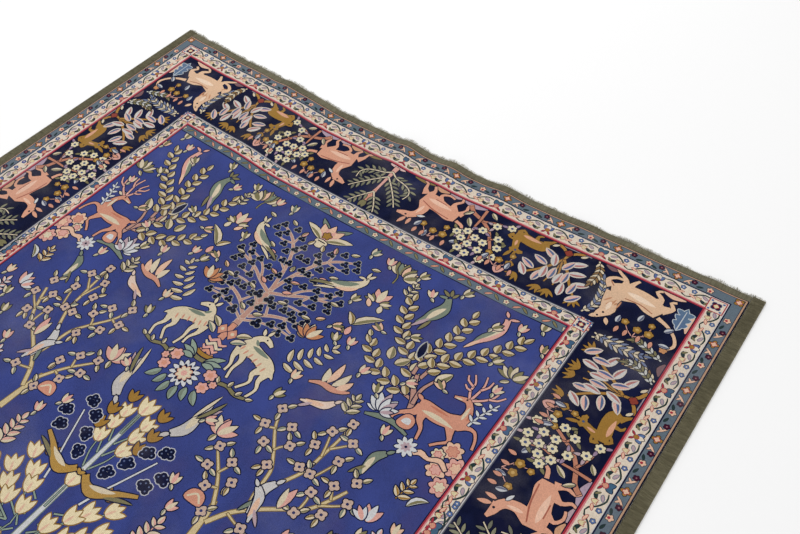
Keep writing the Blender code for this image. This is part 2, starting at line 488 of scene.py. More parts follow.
def knotted_wool():
    """Wool pile: rows of knots in the dyes of the cartoon, brushed by wear, with a soft bloom at a low angle, and
    painted shade that darkens each knot towards its edges.
    """
    finish, shader, where, x, y, z = begin_finish("knotted_wool")
    dye = where.node("ShaderNodeVertexColor", {"layer_name": "dye"})
    crown, lot = knots(where, x, y)
    washes = noise(stretched(where, x, y, z, (1.6, 14.0, 1.0)), 1.0, 3.0)
    clouds = noise(stretched(where, x, y, z, (9.0, 6.0, 1.0)), 1.0, 3.0)
    tufts = noise(stretched(where, x, y, z, (420.0, 260.0, 1.0)), 1.0, 2.0)
    tone = 0.80 + lot * 0.16 + washes * 0.22 + tufts * 0.26 - 0.10
    # Painted shade between the knots: each knot's tone is darker at its edges and lighter on its crown.
    tone = tone * (0.80 + crown * 0.26)
    grey = where.node("ShaderNodeCombineColor", Red=tone, Green=tone, Blue=tone)
    colour = dye.mixed(1.0, grey, "MULTIPLY")
    blue = where.node("ShaderNodeSeparateColor", out=2, Color=dye)
    red = where.node("ShaderNodeSeparateColor", out=0, Color=dye)
    deep = ((blue - red * 1.8) * 9.0).math("MINIMUM", 1.0).math("MAXIMUM", 0.0)
    colour = colour.mixed(deep * (clouds - 0.47).math("MAXIMUM", 0.0) * 3.2, (0.052, 0.075, 0.29, 1.0))
    colour = colour.mixed(deep * (0.47 - clouds).math("MAXIMUM", 0.0) * 2.2, (0.075, 0.055, 0.16, 1.0))
    worn = (noise(where, 5.0, 4.0, 0.6) - 0.50).math("MAXIMUM", 0.0) * tufts * 1.2
    colour = colour.mixed(worn, (0.36, 0.33, 0.33, 1.0))
    end_finish(shader, colour, 0.9 + lot * 0.1, crown * 0.5 + tufts * 0.9, 0.0016, 0.04, 0.03)
    return finish


def in_zone(points, triangles, outer, inner):
    """The triangles of one quarter of a zone, and their middles."""
    middles = points[triangles].mean(1)
    depths = depth_of(middles)
    held = (middles[:, 0] > 0) & (middles[:, 1] < MIDDLE_S) & (depths > outer) & (depths < inner)
    return triangles[held], middles[held]


def knot(name, cartoon, outer, inner, lattice):
    """Knots one zone of the pile: from outer to inner, the depths inside the pile's edge, on all four quarters.

    The zone is a closed mat on the foundation. Its face is cut along every outline of the cartoon, and each
    triangle takes the dye that was laid over it last.
    """
    loose = [(a, s) for a in steps(0.0, PILE_EDGE_A, lattice) for s in steps(PILE_EDGE_S, MIDDLE_S, lattice)]
    loose = np.array(loose)
    near_end = [(a, s) for a in steps(0.0, PILE_EDGE_A, 14.0) for s in steps(PILE_EDGE_S, 330.0, 17.0)]
    loose = np.vstack([loose, near_end])
    depth = depth_of(loose)
    loose = loose[(depth > outer + 4) & (depth < inner - 4)]
    border = Cartoon()
    border.frame(NAVY, outer)
    if inner < 700:
        border.frame(NAVY, inner)
    axes = np.array([(0.0, 0.0), (0.0, MIDDLE_S), (PILE_EDGE_A, MIDDLE_S), (0.0, MIDDLE_S)])
    limits = [outline for outline, _ in border.laid] + [axes]
    kept = []
    for outline, colour in cartoon.laid:
        box_low, box_high = outline.min(0), outline.max(0)
        clear = box_high[0] < 0 or box_low[1] > MIDDLE_S or depth_of(np.array([[box_low[0], box_high[1]]]))[0] < outer
        if not clear and not (box_low[1] - PILE_EDGE_S > inner and box_high[0] < PILE_EDGE_A - inner):
            kept.append((outline, colour))

    points, triangles = cut([outline for outline, _ in kept] + limits, loose)
    triangles, middles = in_zone(points, triangles, outer, inner)
    dyes = np.zeros((len(triangles), 3))
    for outline, colour in kept:
        low, high = outline.min(0), outline.max(0)
        near = np.flatnonzero(np.all((middles >= low) & (middles <= high), 1))
        if len(near):
            dyes[near[inside(middles[near], outline)]] = linear(colour)
    return weave_zone(name, points, triangles, dyes, loose[::3], outer, inner)


def boundary(triangles):
    """The edges with a triangle on one side only, in its direction."""
    edges = np.concatenate([triangles[:, [0, 1]], triangles[:, [1, 2]], triangles[:, [2, 0]]])
    _, index, count = np.unique(np.sort(edges, 1), axis=0, return_inverse=True, return_counts=True)
    return edges[count[index.reshape(-1)] == 1]


def weave_zone(name, flat, face, dyes, loose, outer, inner):
    """The closed mat of a zone, from the plan points, the triangles and the dyes of its quarter's face."""
    used = np.unique(face)
    number = np.full(len(flat), -1)
    number[used] = np.arange(len(used))
    face_points, face = flat[used], number[face]
    limits = boundary(face)
    back_points, back = cut([face_points[pair] for pair in limits], loose)
    back, _ = in_zone(back_points, back, outer, inner)
    ends = face_points[limits]
    on_axis = (np.abs(ends[:, :, 0]) < 0.02).all(1) | (np.abs(ends[:, :, 1] - MIDDLE_S) < 0.02).all(1)
    rim = limits[~on_axis]
    below = len(face_points)
    plan = np.concatenate([face_points, face_points, back_points])
    is_face = np.arange(len(plan)) < below
    start, end = rim[:, 0], rim[:, 1]
    quarter = np.concatenate([
        face, back[:, ::-1] + 2 * below,
        np.stack([end, start, start + below], 1), np.stack([end, start + below, end + below], 1),
    ])
    point_dyes = np.zeros((below, 3))
    point_dyes[face.reshape(-1)] = np.repeat(dyes, 3, 0)
    back_dyes = np.tile(linear((70, 66, 70)), (len(back) * 3, 1))
    wall_dyes = point_dyes[quarter[len(face) + len(back):].reshape(-1) % below]
    quarter_dyes = np.concatenate([np.repeat(dyes, 3, 0), back_dyes, wall_dyes]).reshape(-1, 3, 3)
    rounding = smooth(depth_of(plan) / PILE_ROUNDING_MM) if outer == 0 else np.ones(len(plan))
    face_height = PILE_HEIGHT - PILE_EDGE_DROP * (1.0 - rounding)
    height = np.where(is_face, face_height, FOUNDATION_THICKNESS + 0.0002)
    places, faces, colours = [], [], []
    for turned, (side, far_end) in enumerate(((1, True), (-1, True), (1, False), (-1, False))):
        s = plan[:, 1] / 1000.0
        x, y, lift = place(plan[:, 0] / 1000.0 * side, s if far_end else LENGTH - s)
        (ax, bx, cx), (ay, by, cy) = x[face[0]], y[face[0]]
        looks_up = (bx - ax) * (cy - ay) - (cx - ax) * (by - ay) > 0
        places.append(np.stack([x, y, lift + height], 1))
        faces.append((quarter if looks_up else quarter[:, ::-1]) + turned * len(plan))
        colours.append(quarter_dyes if looks_up else quarter_dyes[:, ::-1])
    places, faces, colours = np.concatenate(places), np.concatenate(faces), np.concatenate(colours)
    _, first, index = np.unique(np.round(places * 1e5), axis=0, return_index=True, return_inverse=True)
    faces = index.reshape(-1)[faces]
    whole = (faces[:, 0] != faces[:, 1]) & (faces[:, 1] != faces[:, 2]) & (faces[:, 2] != faces[:, 0])
    faces, colours = faces[whole], colours[whole]
    used, faces = np.unique(faces, return_inverse=True)
    faces = faces.reshape(-1, 3)
    mesh = bpy.data.meshes.new(name)
    mesh.from_pydata(places[first][used].tolist(), [], faces.tolist())
    dye = mesh.color_attributes.new("dye", "FLOAT_COLOR", "CORNER")
    values = np.ones((len(faces) * 3, 4), np.float32)
    values[:, :3] = colours.reshape(-1, 3)
    dye.data.foreach_set("color", values.reshape(-1))
    ends = np.sort(np.concatenate([faces[:, [0, 1]], faces[:, [1, 2]], faces[:, [2, 0]]]), 1)
    _, shared = np.unique(ends, axis=0, return_counts=True)
    print(name, len(faces), "triangles;", int(np.sum(shared != 2)), "edges not shared by two")
    piece = bpy.data.objects.new(name, mesh)
    scene.collection.objects.link(piece)
    return piece

field = Cartoon()
field.frame(FIELD_BLUE, FIELD_DEPTH)


def spray(cartoon, rib, length, width, angle, gap, light, dark, first=8.0, thin=0.5, contour=NAVY, upright=0.0):
    """Two-toned leaves in turn on both sides along a rib."""
    line = curve(rib, step=2.0)
    run = np.concatenate([[0.0], np.cumsum(np.hypot(*np.diff(line, axis=0).T))])
    side, reached = 1, first
    while reached < run[-1] - 2:
        at = np.array([np.interp(reached, run, line[:, i]) for i in (0, 1)])
        ahead = np.array([np.interp(reached + 6, run, line[:, i]) for i in (0, 1)])
        heading = math.degrees(math.atan2(ahead[0] - at[0], at[1] - ahead[1]))
        size = 1.0 - (1.0 - thin) * reached / run[-1]
        aim = (heading + side * angle) * (1 - upright)
        cartoon.leafy(at, toward(at, aim, length * size), width * (0.4 + 0.6 * size), light, dark, 2.0 * side, contour)
        side, reached = -side, reached + gap / 2
    cartoon.leafy(line[-1], toward(line[-1], heading, length * thin), width * 0.7, light, dark, 0.0, contour)


def berries(cartoon, *centres, size=12.0):
    """Dark berry clusters outlined in cream."""
    for a, s in centres:
        heads = [disc(toward((a, s), turn, size * 0.52), size * 0.5, 8) for turn in (0, 125, 235)]
        cartoon.figure((INK, *heads), contour=(150, 148, 140), by=1.7)
        cartoon.lay((70, 84, 120), disc((a, s - 1), 2.2, 6))


def blossoms(cartoon, petals, heart, radius, petal, centre, *places):
    """Small open flowers with a dark heart."""
    for i, (a, s) in enumerate(places):
        cartoon.figure((petal, flower((a, s), radius, petals, 0.34, 13 * i % 60)))
        cartoon.lay(centre, disc((a, s), heart, 7))


def lily(cartoon, base, length, angle, outer, inner, contour=NAVY):
    """A three-petalled bud on a short cup."""
    wide = length * 0.34
    petals = [leaf(base, toward(base, angle + turn, length * share), wide, 0)
              for turn, share in ((-26, 0.92), (26, 0.92), (0, 1.0))]
    cartoon.figure((outer, petals[0], petals[1]), (inner, petals[2]), contour=contour)


def sprig(cartoon, base, height, width, angle, pairs, light, dark, leaf_angle=52.0, contour=NAVY):
    """A small upright sprig with pairs of leaves."""
    tip = toward(base, angle, height)
    cartoon.figure((dark, stem(3.0, base, tip)), contour=contour, by=1.5)
    for i in range(pairs):
        share = 0.12 + 0.75 * i / max(1, pairs - 1)
        at = (base[0] + (tip[0] - base[0]) * share, base[1] + (tip[1] - base[1]) * share)
        size = width / 2 * (1.0 - 0.45 * share)
        for side in (-1, 1):
            end = toward(at, angle + side * leaf_angle, size * 1.25)
            cartoon.leafy(at, end, size * 0.52, light, dark, 0.0, contour)
    cartoon.leafy(tip, toward(tip, angle, width * 0.36), width * 0.2, light, dark, 0.0, contour)


# Four palmettes stand up the middle line: a fan, a cup on a bar, a root with clouds, and the stand of tulips.
field.figure((GREY_GREEN, leaf((14, 428), (54, 402), 14, 4)))
field.figure(
    (PEACH, *fan((6, 470), 62, 24, 0, 32)), (PINK, *fan((6, 470), 46, 15, 16, 50)),
    (CREAM, leaf((14, 472), (80, 438), 22, -5)), (OLIVE, leaf((14, 472), (66, 448), 9, -3)),
)
field.figure((GOLD, flower((6, 452), 14, 5)), by=2)
field.figure((CREAM, blob((-10, 474), (6, 470), (24, 476), (20, 494), (6, 502), (-8, 494))))
field.lay(INK, limb((-4, 478, 4), (18, 478, 4)))

# The berry tree on the middle line.
BERRY_LINE = (196, 178, 160)
for points, width in (
    (((6, 845), (5, 790), (7, 740), (6, 690)), 17),
    (((6, 700), (22, 624), (42, 566), (64, 530), (88, 508), (118, 492)), 8),
    (((8, 712), (52, 690), (98, 662), (164, 640)), 8),
    (((15, 802), (48, 775), (90, 756), (145, 746)), 8),
    (((42, 566), (34, 540), (26, 520)), 4), (((64, 530), (64, 500), (60, 485)), 4),
    (((52, 690), (72, 655), (96, 634), (128, 622)), 5), (((22, 624), (46, 606), (60, 590)), 4),
    (((98, 662), (90, 690), (112, 690)), 4), (((48, 775), (36, 752), (30, 740)), 4),
    (((90, 756), (112, 776), (130, 782)), 4), (((64, 530), (100, 535), (120, 525)), 4),
    (((6, 760), (40, 730), (78, 716), (120, 716)), 4), (((8, 820), (50, 800), (104, 790), (140, 792)), 4),
    (((98, 662), (130, 640), (150, 612)), 4),
):
    field.figure((BARK, stem(width, *points)), contour=BERRY_LINE, by=1.6)
berries(
    field, (17, 560), (30, 525), (55, 500), (85, 480), (128, 485), (118, 525), (85, 545), (62, 565), (48, 598),
    (65, 640), (100, 630), (135, 625), (170, 628), (87, 692), (122, 682), (160, 670), (20, 765), (42, 740), (72, 735),
    (95, 733), (108, 745), (130, 755), (100, 775), (75, 788), (36, 668), (28, 596), (150, 600), (104, 508), (150, 652),
    (60, 715), (118, 716), (140, 792), (104, 800), (45, 545), (140, 506), (74, 606), (22, 648), (110, 655),
)
berries(field, (45, 806), (24, 730), (140, 735), size=15)
for a, s, turn, light, dark in (
    (98, 470, 60, CREAM, OLIVE), (62, 494, -20, PINK, OLIVE), (30, 508, -25, CREAM, OLIVE_GOLD),
    (168, 478, 70, CREAM, OLIVE), (98, 572, 60, CREAM, OLIVE), (80, 590, 80, PINK, OLIVE),
    (8, 618, -10, CREAM, OLIVE), (30, 648, 70, PINK, OLIVE_GOLD), (34, 690, 60, PINK, SALMON),
    (44, 722, 70, CREAM, OLIVE), (118, 722, 80, CREAM, OLIVE), (152, 708, 50, PEACH, OLIVE_GOLD),
    (20, 790, 60, CREAM, OLIVE), (150, 640, 90, CREAM, OLIVE), (140, 765, 110, PINK, OLIVE),
):
    field.leafy((a, s), toward((a, s), turn, 24), 11, light, dark)

# A crested bird in the berry tree, looking back to the trunk, its tail hanging down.
field.figure(
    (CREAM, limb((178, 514, 13), (180, 528, 16), (168, 548, 24), (146, 566, 26), (120, 582, 14), (100, 592, 8)),
     leaf((174, 516), (156, 520), 8), leaf((180, 512), (192, 492), 8), leaf((176, 512), (176, 488), 7)),
    (GREY_GREEN, leaf((172, 540), (104, 578), 17, -5)), (PEACH, leaf((178, 556), (126, 590), 13, -5)),
    (OLIVE, leaf((122, 584), (62, 612), 10, 4)), (CREAM, leaf((130, 592), (80, 622), 8, 3)),
)
field.lay(INK, disc((178, 517), 2.6, 6))

# Loose flowers between the berry tree and the leafy tree of the corner.
for turn, shade in ((-24, CREAM), (2, GREY_GREEN), (26, PEACH), (52, CREAM)):
    lily(field, toward((235, 470), turn, 20), 44, turn, shade, OLIVE)
field.figure((OLIVE, stem(4, (236, 486), (235, 462), (222, 440))), by=1.5)
sprig(field, (287, 505), 44, 40, 4, 3, CREAM, OLIVE)
lily(field, (240, 566), 52, 0, PINK, CREAM)
lily(field, (232, 568), 30, -60, OLIVE, CREAM)
lily(field, (250, 568), 30, 60, OLIVE, CREAM)
field.figure((PEACH, leaf((232, 590), (216, 566), 13)), (CREAM, leaf((262, 596), (256, 570), 14)))
field.leafy((230, 668), (288, 606), 22, CREAM, OLIVE, -8)
field.leafy((230, 668), (204, 634), 16, CREAM, OLIVE_GOLD, 4)
field.figure((PINK, leaf((236, 704), (234, 674), 15)), (OLIVE, leaf((228, 704), (216, 684), 9)))

# The leafy tree of the field's corner, springing from one foot.
LEAF_LIGHT, LEAF_DARK = (205, 189, 158), (136, 116, 74)
for points in (
    ((474, 768), (426, 760), (380, 750), (350, 738), (320, 710), (298, 688)),
    ((455, 748), (420, 700), (380, 650), (342, 610), (320, 560), (310, 505)),
    ((430, 704), (425, 640), (440, 590), (452, 540), (456, 466)),
    ((450, 704), (460, 645), (484, 612), (520, 570), (560, 520), (592, 465)),
):
    field.figure((BARK, stem(8, *points, thin=0.4)), contour=NAVY, by=2)
    spray(field, points, 33, 19, 40, 33, LEAF_LIGHT, LEAF_DARK, first=26, thin=0.85)
field.figure((BARK, stem(17, (480, 792), (470, 765), (452, 735), (440, 700), thin=0.5)))
field.figure((BARK, stem(9, (474, 775), (470, 730), (482, 690), thin=0.6)))
field.leafy((482, 692), (506, 648), 24, CREAM, OLIVE)
field.leafy((362, 700), (350, 662), 22, LEAF_LIGHT, OLIVE)
field.leafy((380, 706), (404, 672), 22, LEAF_LIGHT, OLIVE)
field.figure((NAVY, leaf((414, 656), (406, 600), 18)), contour=(178, 176, 172), by=2.4)
field.leafy((288, 668), (276, 650), 12, CREAM, OLIVE)

# Two birds in its crown: a tall green one on the left, a long-tailed pink one on the right.
field.figure(
    (GREY_GREEN, limb((376, 446, 15), (382, 462, 18), (384, 486, 30), (374, 514, 32), (362, 540, 16), (352, 562, 8)),
     leaf((374, 446), (352, 452), 9)),
    (OLIVE, leaf((374, 440), (352, 428), 9), leaf((378, 438), (370, 416), 9), leaf((382, 440), (390, 420), 8)),
    (CREAM, leaf((388, 478), (366, 544), 15, 4)), (LILAC, leaf((372, 530), (346, 580), 10)),
    (OLIVE, leaf((378, 536), (366, 582), 9)),
)
field.lay(INK, disc((374, 447), 2.6, 6))
field.figure(
    (PINK, limb((526, 420, 14), (530, 436, 14), (528, 462, 24), (516, 492, 24), (502, 520, 12), (490, 542, 7)),
     leaf((530, 418), (552, 410), 8), leaf((524, 414), (512, 398), 8)),
    (CREAM, leaf((534, 452), (508, 506), 13, 3)), (GREY_GREEN, leaf((522, 470), (492, 530), 11, 4)),
    (PEACH, leaf((504, 516), (482, 560), 9)),
)
field.lay(INK, disc((528, 420), 2.4, 6))
for turn in (-46, -4, 40):
    lily(field, toward((618, 584), turn, 6), 40, turn, OLIVE, CREAM)
field.leafy((618, 588), (600, 602), 10, CREAM, OLIVE)

# A deer with branching antlers steps towards the corner, looking back.
field.figure(
    (SALMON, limb((486, 762, 24), (500, 762, 34), (530, 768, 40), (560, 766, 38), (586, 756, 40), (598, 746, 26)),
     limb((588, 756, 34), (590, 732, 22), (584, 708, 15), (572, 694, 15)),
     limb((582, 694, 15), (564, 694, 14), (548, 698, 9), (540, 700, 7)),
     limb((496, 768, 26), (488, 790, 17), (466, 806, 9), (456, 824, 6), (455, 842, 6)),
     limb((506, 776, 26), (510, 800, 15), (524, 818, 8), (530, 846, 6)),
     limb((586, 768, 22), (606, 758, 12), (624, 758, 8), (636, 776, 6), (642, 800, 6)),
     limb((574, 776, 24), (584, 796, 13), (590, 812, 8), (574, 828, 6), (562, 842, 6)),
     leaf((488, 752), (470, 742), 10)),
    (CREAM, leaf((584, 690), (602, 684), 9), leaf((578, 688), (588, 676), 8)),
)
field.lay(CREAM, leaf((500, 776), (582, 778), 14, -3), leaf((584, 748), (584, 706), 8), leaf((560, 698), (542, 701), 5))
field.lay((190, 120, 96), leaf((508, 754), (560, 756), 7), limb((596, 742, 5), (592, 716, 4)))
field.lay(INK, disc((568, 692), 2.6, 6))
for points in (
    ((570, 686), (560, 664), (560, 640), (548, 616)), ((560, 650), (542, 640), (536, 626)),
    ((574, 686), (578, 660), (580, 634), (574, 606)), ((579, 650), (590, 632), (592, 612)),
    ((578, 688), (598, 672), (614, 650), (620, 622)), ((606, 662), (624, 654), (636, 636)),
    ((561, 664), (550, 662), (542, 654)),
):
    field.figure((PINK, stem(6, *points, thin=0.6)), by=1.8)
field.figure((GREY_GREEN, limb((402, 856, 6), (440, 842, 14), (470, 840, 12), (508, 850, 6))))
field.figure((SALMON, blob((470, 832), (478, 806), (492, 800), (506, 812), (504, 834), (486, 840))))
field.lay(WHITE, blob((478, 826), (484, 812), (496, 812), (498, 826)))
for turn, reach in ((-58, 30), (-28, 46), (0, 54), (28, 46), (58, 30)):
    lily(field, toward((424, 842), turn * 0.6, 8), reach, turn, WHITE, LILAC)
field.figure((WHITE, stem(5, (604, 752), (612, 716), (622, 690), (634, 662))), by=1.8)
for i, (a, s) in enumerate(((606, 738), (611, 718), (617, 700), (624, 682))):
    for side in (-1, 1):
        field.figure((WHITE, leaf((a, s), toward((a, s), 12 + side * 55, 21 - 2 * i), 7)), by=1.6)
sprig(field, (368, 884), 44, 52, 0, 3, CREAM, OLIVE)

# Peonies and ragged clouds against the frame.
for a, s, r, shade, heart in (
    (612, 826, 25, PEACH, SALMON), (640, 858, 27, PINK, PEACH), (606, 884, 24, PEACH, PINK), (634, 914, 24, PINK, CREAM),
    (590, 850, 16, CREAM, PINK),
):
    field.figure((shade, flower((a, s), r, 7, 0.3)))
    field.figure((heart, flower((a, s), r * 0.55, 6, 0.35)), contour=(176, 96, 92), by=1.6)
field.figure((PEACH, limb((540, 884, 5), (556, 868, 14), (578, 872, 9), (602, 862, 12), (624, 876, 8))))
field.figure((WHITE, flower((524, 874), 26, 9, 0.42)), by=2.2)
field.lay(LILAC, flower((524, 874), 13, 7, 0.4))
field.lay(NAVY, disc((524, 874), 3.5, 7))

# A fern, an orange sprig and the lily with a bird's neck, over the grazing gazelle.
spray(
    field, ((168, 862), (200, 826), (228, 792), (240, 758)), 40, 13, 62, 24, CREAM, (176, 158, 122), first=6, thin=0.55
)
for turn in (-40, -8, 24):
    lily(field, (168, 768), 46, turn, (190, 130, 92), CREAM)
field.figure(
    (SALMON, limb((250, 862, 5), (276, 850, 12), (306, 850, 15), (332, 842, 9), (344, 834, 4))),
    *(((CREAM, PEACH)[i % 2], leaf((a, s), tip, 17, 4)) for i, (a, s, tip) in enumerate((
        (276, 846, (268, 806)), (286, 842, (290, 776)), (300, 842, (320, 792)), (312, 844, (336, 808)),
    ))),
)
GAZELLE_COAT = (214, 199, 170)
field.figure(
    (GAZELLE_COAT,
     limb((62, 872, 30), (84, 872, 40), (112, 878, 36), (138, 886, 38), (158, 898, 30), (166, 912, 18)),
     limb((70, 876, 36), (76, 852, 24), (84, 836, 17), (98, 828, 16)),
     limb((92, 828, 17), (108, 832, 14), (122, 840, 8)),
     limb((64, 884, 24), (64, 910, 12), (74, 932, 7), (74, 954, 6)),
     limb((78, 888, 22), (88, 912, 11), (86, 940, 7), (92, 968, 6)),
     limb((146, 902, 26), (134, 924, 13), (142, 946, 7), (126, 976, 6)),
     limb((160, 906, 20), (158, 932, 11), (168, 954, 7), (160, 986, 6)),
     leaf((86, 824), (76, 806), 9), leaf((94, 820), (100, 800), 8), leaf((166, 896), (180, 912), 8)),
)
field.lay(GREY_GREEN, leaf((84, 862), (138, 870), 12), leaf((94, 856), (80, 842), 8))
for a, s in ((70, 880), (84, 886), (100, 888), (116, 892), (132, 896), (148, 902)):
    field.lay(SALMON, leaf((a, s - 9), (a - 5, s + 9), 5))
field.lay(INK, disc((101, 830), 2.6, 6))
field.figure((OLIVE, limb((66, 1002, 4), (88, 990, 9), (112, 985, 8), (140, 992, 9), (176, 984, 5))))
for a, s, turn in ((86, 990, -30), (112, 984, 10), (140, 992, 30), (166, 988, 60)):
    field.leafy((a, s), toward((a, s), turn, 18), 9, CREAM, OLIVE)

# The root of the berry tree, with chevrons, green leaves and a serrated flower under clouds.
field.figure((SALMON, stem(18, (6, 892), (6, 838), thin=0.8)), by=2)
field.figure((SALMON, np.array([(22, 850), (36, 866), (22, 884), (8, 866)])))
field.lay(CREAM, disc((22, 866), 5, 6))
for s, shade in ((862, OLIVE), (884, GREY_GREEN)):
    field.leafy((34, s + 4), (66, s - 16), 15, CREAM, shade, -3)
for i, shade in enumerate((PINK, CREAM, PINK, SALMON)):
    s = 896 + 13 * i
    field.figure((shade, limb((-2, s + 10, 7), (6, s, 8), (20, s + 12, 8), (34 - 3 * i, s + 4, 4))), by=1.8)
for s, shade in ((952, GOLD), (966, OLIVE)):
    field.figure((shade, limb((-4, s, 10), (20, s - 2, 10), (30, s - 8, 4))), by=1.8)
for tip in ((62, 932), (66, 954), (60, 976)):
    field.figure((LIGHT_GREEN, leaf((22, 972), tip, 15, -4)))
field.figure((WHITE, flower((6, 1016), 39, 13, 0.36)), (NAVY, flower((6, 1016), 27, 11, 0.3)), by=2.2)
field.figure((CREAM, flower((6, 1016), 20, 8, 0.35)), (PINK, disc((6, 1016), 8, 8)), contour=SALMON, by=1.6)
for a, s, r in ((60, 985, 17), (67, 1022, 16), (82, 1002, 10)):
    field.figure((PINK, flower((a, s), r, 6, 0.28)))
    field.lay(SALMON, flower((a, s), r * 0.5, 5, 0.3))
for base, tip in (((38, 1042), (52, 1076)), ((18, 1052), (26, 1090)), ((58, 1038), (84, 1070))):
    field.leafy(base, tip, 17, LIGHT_GREEN, GREY_GREEN, 3)


def small_bird(cartoon, head, turn, length, body, wing, tail, face=1):
    """A bird from its head along one way, face 1 or -1 for the side of its beak and wing."""
    breast, rump = toward(head, turn + 16 * face, length * 0.3), toward(head, turn, length * 0.62)
    end = toward(head, turn - 6 * face, length)
    size = length * 0.25
    cartoon.figure(
        (body, limb((*head, size * 0.62), (*breast, size), (*rump, size * 0.7), (*end, size * 0.2)),
         leaf(head, toward(head, turn + 200 * face, size * 0.95), size * 0.4)),
        (wing, leaf(breast, toward(head, turn - 9 * face, length * 0.86), size * 0.62, 3 * face)),
        (tail, leaf(rump, toward(head, turn + 6 * face, length * 1.12), size * 0.4)),
    )
    cartoon.lay(INK, disc(head, max(1.8, size * 0.1), 6))


small_bird(field, (334, 876), 236, 78, (220, 196, 180), PEACH, LILAC, -1)
small_bird(field, (500, 912), 200, 84, GREY_GREEN, CREAM, OLIVE)

# The blossom tree of the middle: a leaning trunk, forked twigs, four-petalled flowers and a pair of birds.
TWIG, TWIG_LINE = (204, 184, 141), (120, 100, 62)
for points, width in (
    (((292, 1330), (288, 1280), (284, 1240), (280, 1214)), 15), (((282, 1224), (262, 1190), (240, 1160), (205, 1122)), 7),
    (((294, 1262), (318, 1220), (344, 1192), (370, 1170), (410, 1140), (446, 1112), (470, 1070), (486, 1035)), 9),
    (((344, 1192), (334, 1150), (330, 1110), (324, 1085), (300, 1048), (268, 1004), (254, 972)), 7),
    (((340, 1150), (358, 1108), (385, 1050), (392, 1000), (398, 950), (400, 908)), 7),
    (((392, 1000), (384, 970), (376, 946)), 4), (((396, 975), (410, 960), (424, 944)), 4),
    (((430, 1124), (430, 1100), (426, 1085)), 4), (((456, 1096), (480, 1080), (500, 1064)), 4),
    (((240, 1160), (248, 1140), (250, 1128)), 4), (((262, 1190), (246, 1196), (236, 1200)), 4),
    (((268, 1004), (254, 1010), (244, 1008)), 4), (((300, 1048), (286, 1050), (270, 1046)), 4),
    (((385, 1050), (406, 1050), (428, 1000)), 4), (((318, 1220), (345, 1228), (362, 1230)), 4),
    (((300, 1048), (306, 1036), (320, 1022)), 4), (((470, 1070), (462, 1056), (456, 1042)), 4),
):
    field.figure((TWIG, stem(width, *points, thin=0.55)), contour=TWIG_LINE, by=2)
TREE_FLOWERS = (
    (249, 955), (296, 980), (242, 1007), (322, 1020), (269, 1045), (311, 1085), (370, 1048), (398, 1048), (400, 895),
    (374, 937), (428, 935), (363, 985), (429, 988), (426, 1080), (456, 1040), (491, 1007), (503, 1057), (474, 1108),
    (426, 1138), (248, 1125), (279, 1162), (201, 1110), (209, 1160), (238, 1200), (271, 1248), (361, 1230),
)
for i, (a, s) in enumerate(TREE_FLOWERS):
    for turn in (40 + 70 * (i % 3), 170 + 50 * (i % 4)):
        start = toward((a, s), turn, 12)
        field.leafy(start, toward(start, turn, 22), 10, CREAM, (OLIVE, GREY_GREEN, OLIVE_GOLD)[i % 3])
blossoms(field, 4, 3.6, 13.5, (194, 168, 152), (40, 44, 84), *TREE_FLOWERS)
small_bird(field, (356, 1108), 190, 88, (198, 194, 192), CREAM, GREY_GREEN)
small_bird(field, (330, 1136), 150, 82, (198, 194, 192), PEACH, LILAC, -1)
field.figure((PINK, leaf((392, 1150), (400, 1092), 18)), (CREAM, leaf((392, 1150), (384, 1100), 13)))
field.figure((SALMON, blob((218, 1244), (222, 1222), (240, 1214), (258, 1222), (262, 1244), (240, 1248))))
field.lay(CREAM, limb((224, 1240, 4), (240, 1224, 5), (257, 1240, 4)))
for turn in (-30, 30):
    lily(field, (176, 1092), 50, turn, PINK, CREAM)
field.leafy((176, 1094), (170, 1116), 12, CREAM, OLIVE)
small_bird(field, (92, 1152), 20, 112, (190, 184, 180), CREAM, LILAC)
field.figure((OLIVE, leaf((112, 1090), (142, 1018), 9, 3)), (CREAM, leaf((104, 1092), (122, 1010), 8)))

# The stand of tulips on the middle line, between navy plumes and two golden birds.
field.figure((WHITE, stem(12, (6, 1520), (6, 1400), (6, 1260), (6, 1150), thin=0.5)), contour=GREY_GREEN, by=2)
TULIP, GOLD_EDGE = (228, 212, 174), (140, 106, 52)
for a, s, turn, tall in (
    (6, 1158, 0, 50), (36, 1186, 10, 40), (36, 1222, 16, 40), (36, 1262, 20, 40), (6, 1374, 0, 46), (120, 1374, 30, 44),
    (85, 1410, 22, 46), (134, 1424, 34, 44), (65, 1436, 16, 44), (110, 1458, 28, 44), (85, 1480, 20, 44),
    (150, 1470, 40, 40), (40, 1478, 10, 44), (176, 1440, 50, 38),
):
    field.figure((TULIP, *fan((a, s), tall, tall * 0.36, turn - 26, turn + 26, turn)), contour=GOLD_EDGE)
    field.lay(PEACH, leaf((a, s), toward((a, s), turn, tall * 0.6), tall * 0.14))
    field.figure((LIGHT_GREEN, stem(4, (6 + (a - 6) * 0.25, s + 60), (6 + (a - 6) * 0.8, s + 26), (a, s))), by=1.4)
for a, s in ((52, 1146), (68, 1196), (66, 1238), (100, 1350)):
    field.figure((GOLD, *fan((a, s), 34, 12, -24, 6, 36)))
field.figure((WHITE, stem(5, (60, 1390), (76, 1340), (92, 1300), (122, 1222), thin=0.7)), by=1.6)
for a, s, turn in ((90, 1232, -6), (122, 1208, 4), (150, 1256, 34), (75, 1276, -20), (130, 1290, 40), (58, 1316, -30)):
    plume = [disc(toward((a, s), turn + spread, reach), 8.5, 8)
             for spread, reach in ((-50, 12), (-22, 20), (8, 24), (38, 18), (0, 8))]
    field.figure((NAVY, *plume), contour=(186, 186, 190), by=2)
    for spread, reach in ((-50, 12), (-22, 20), (8, 24), (38, 18)):
        field.lay((96, 108, 140), disc(toward((a, s), turn + spread, reach), 2.4, 5))
GOLD_BIRD = (176, 138, 72)
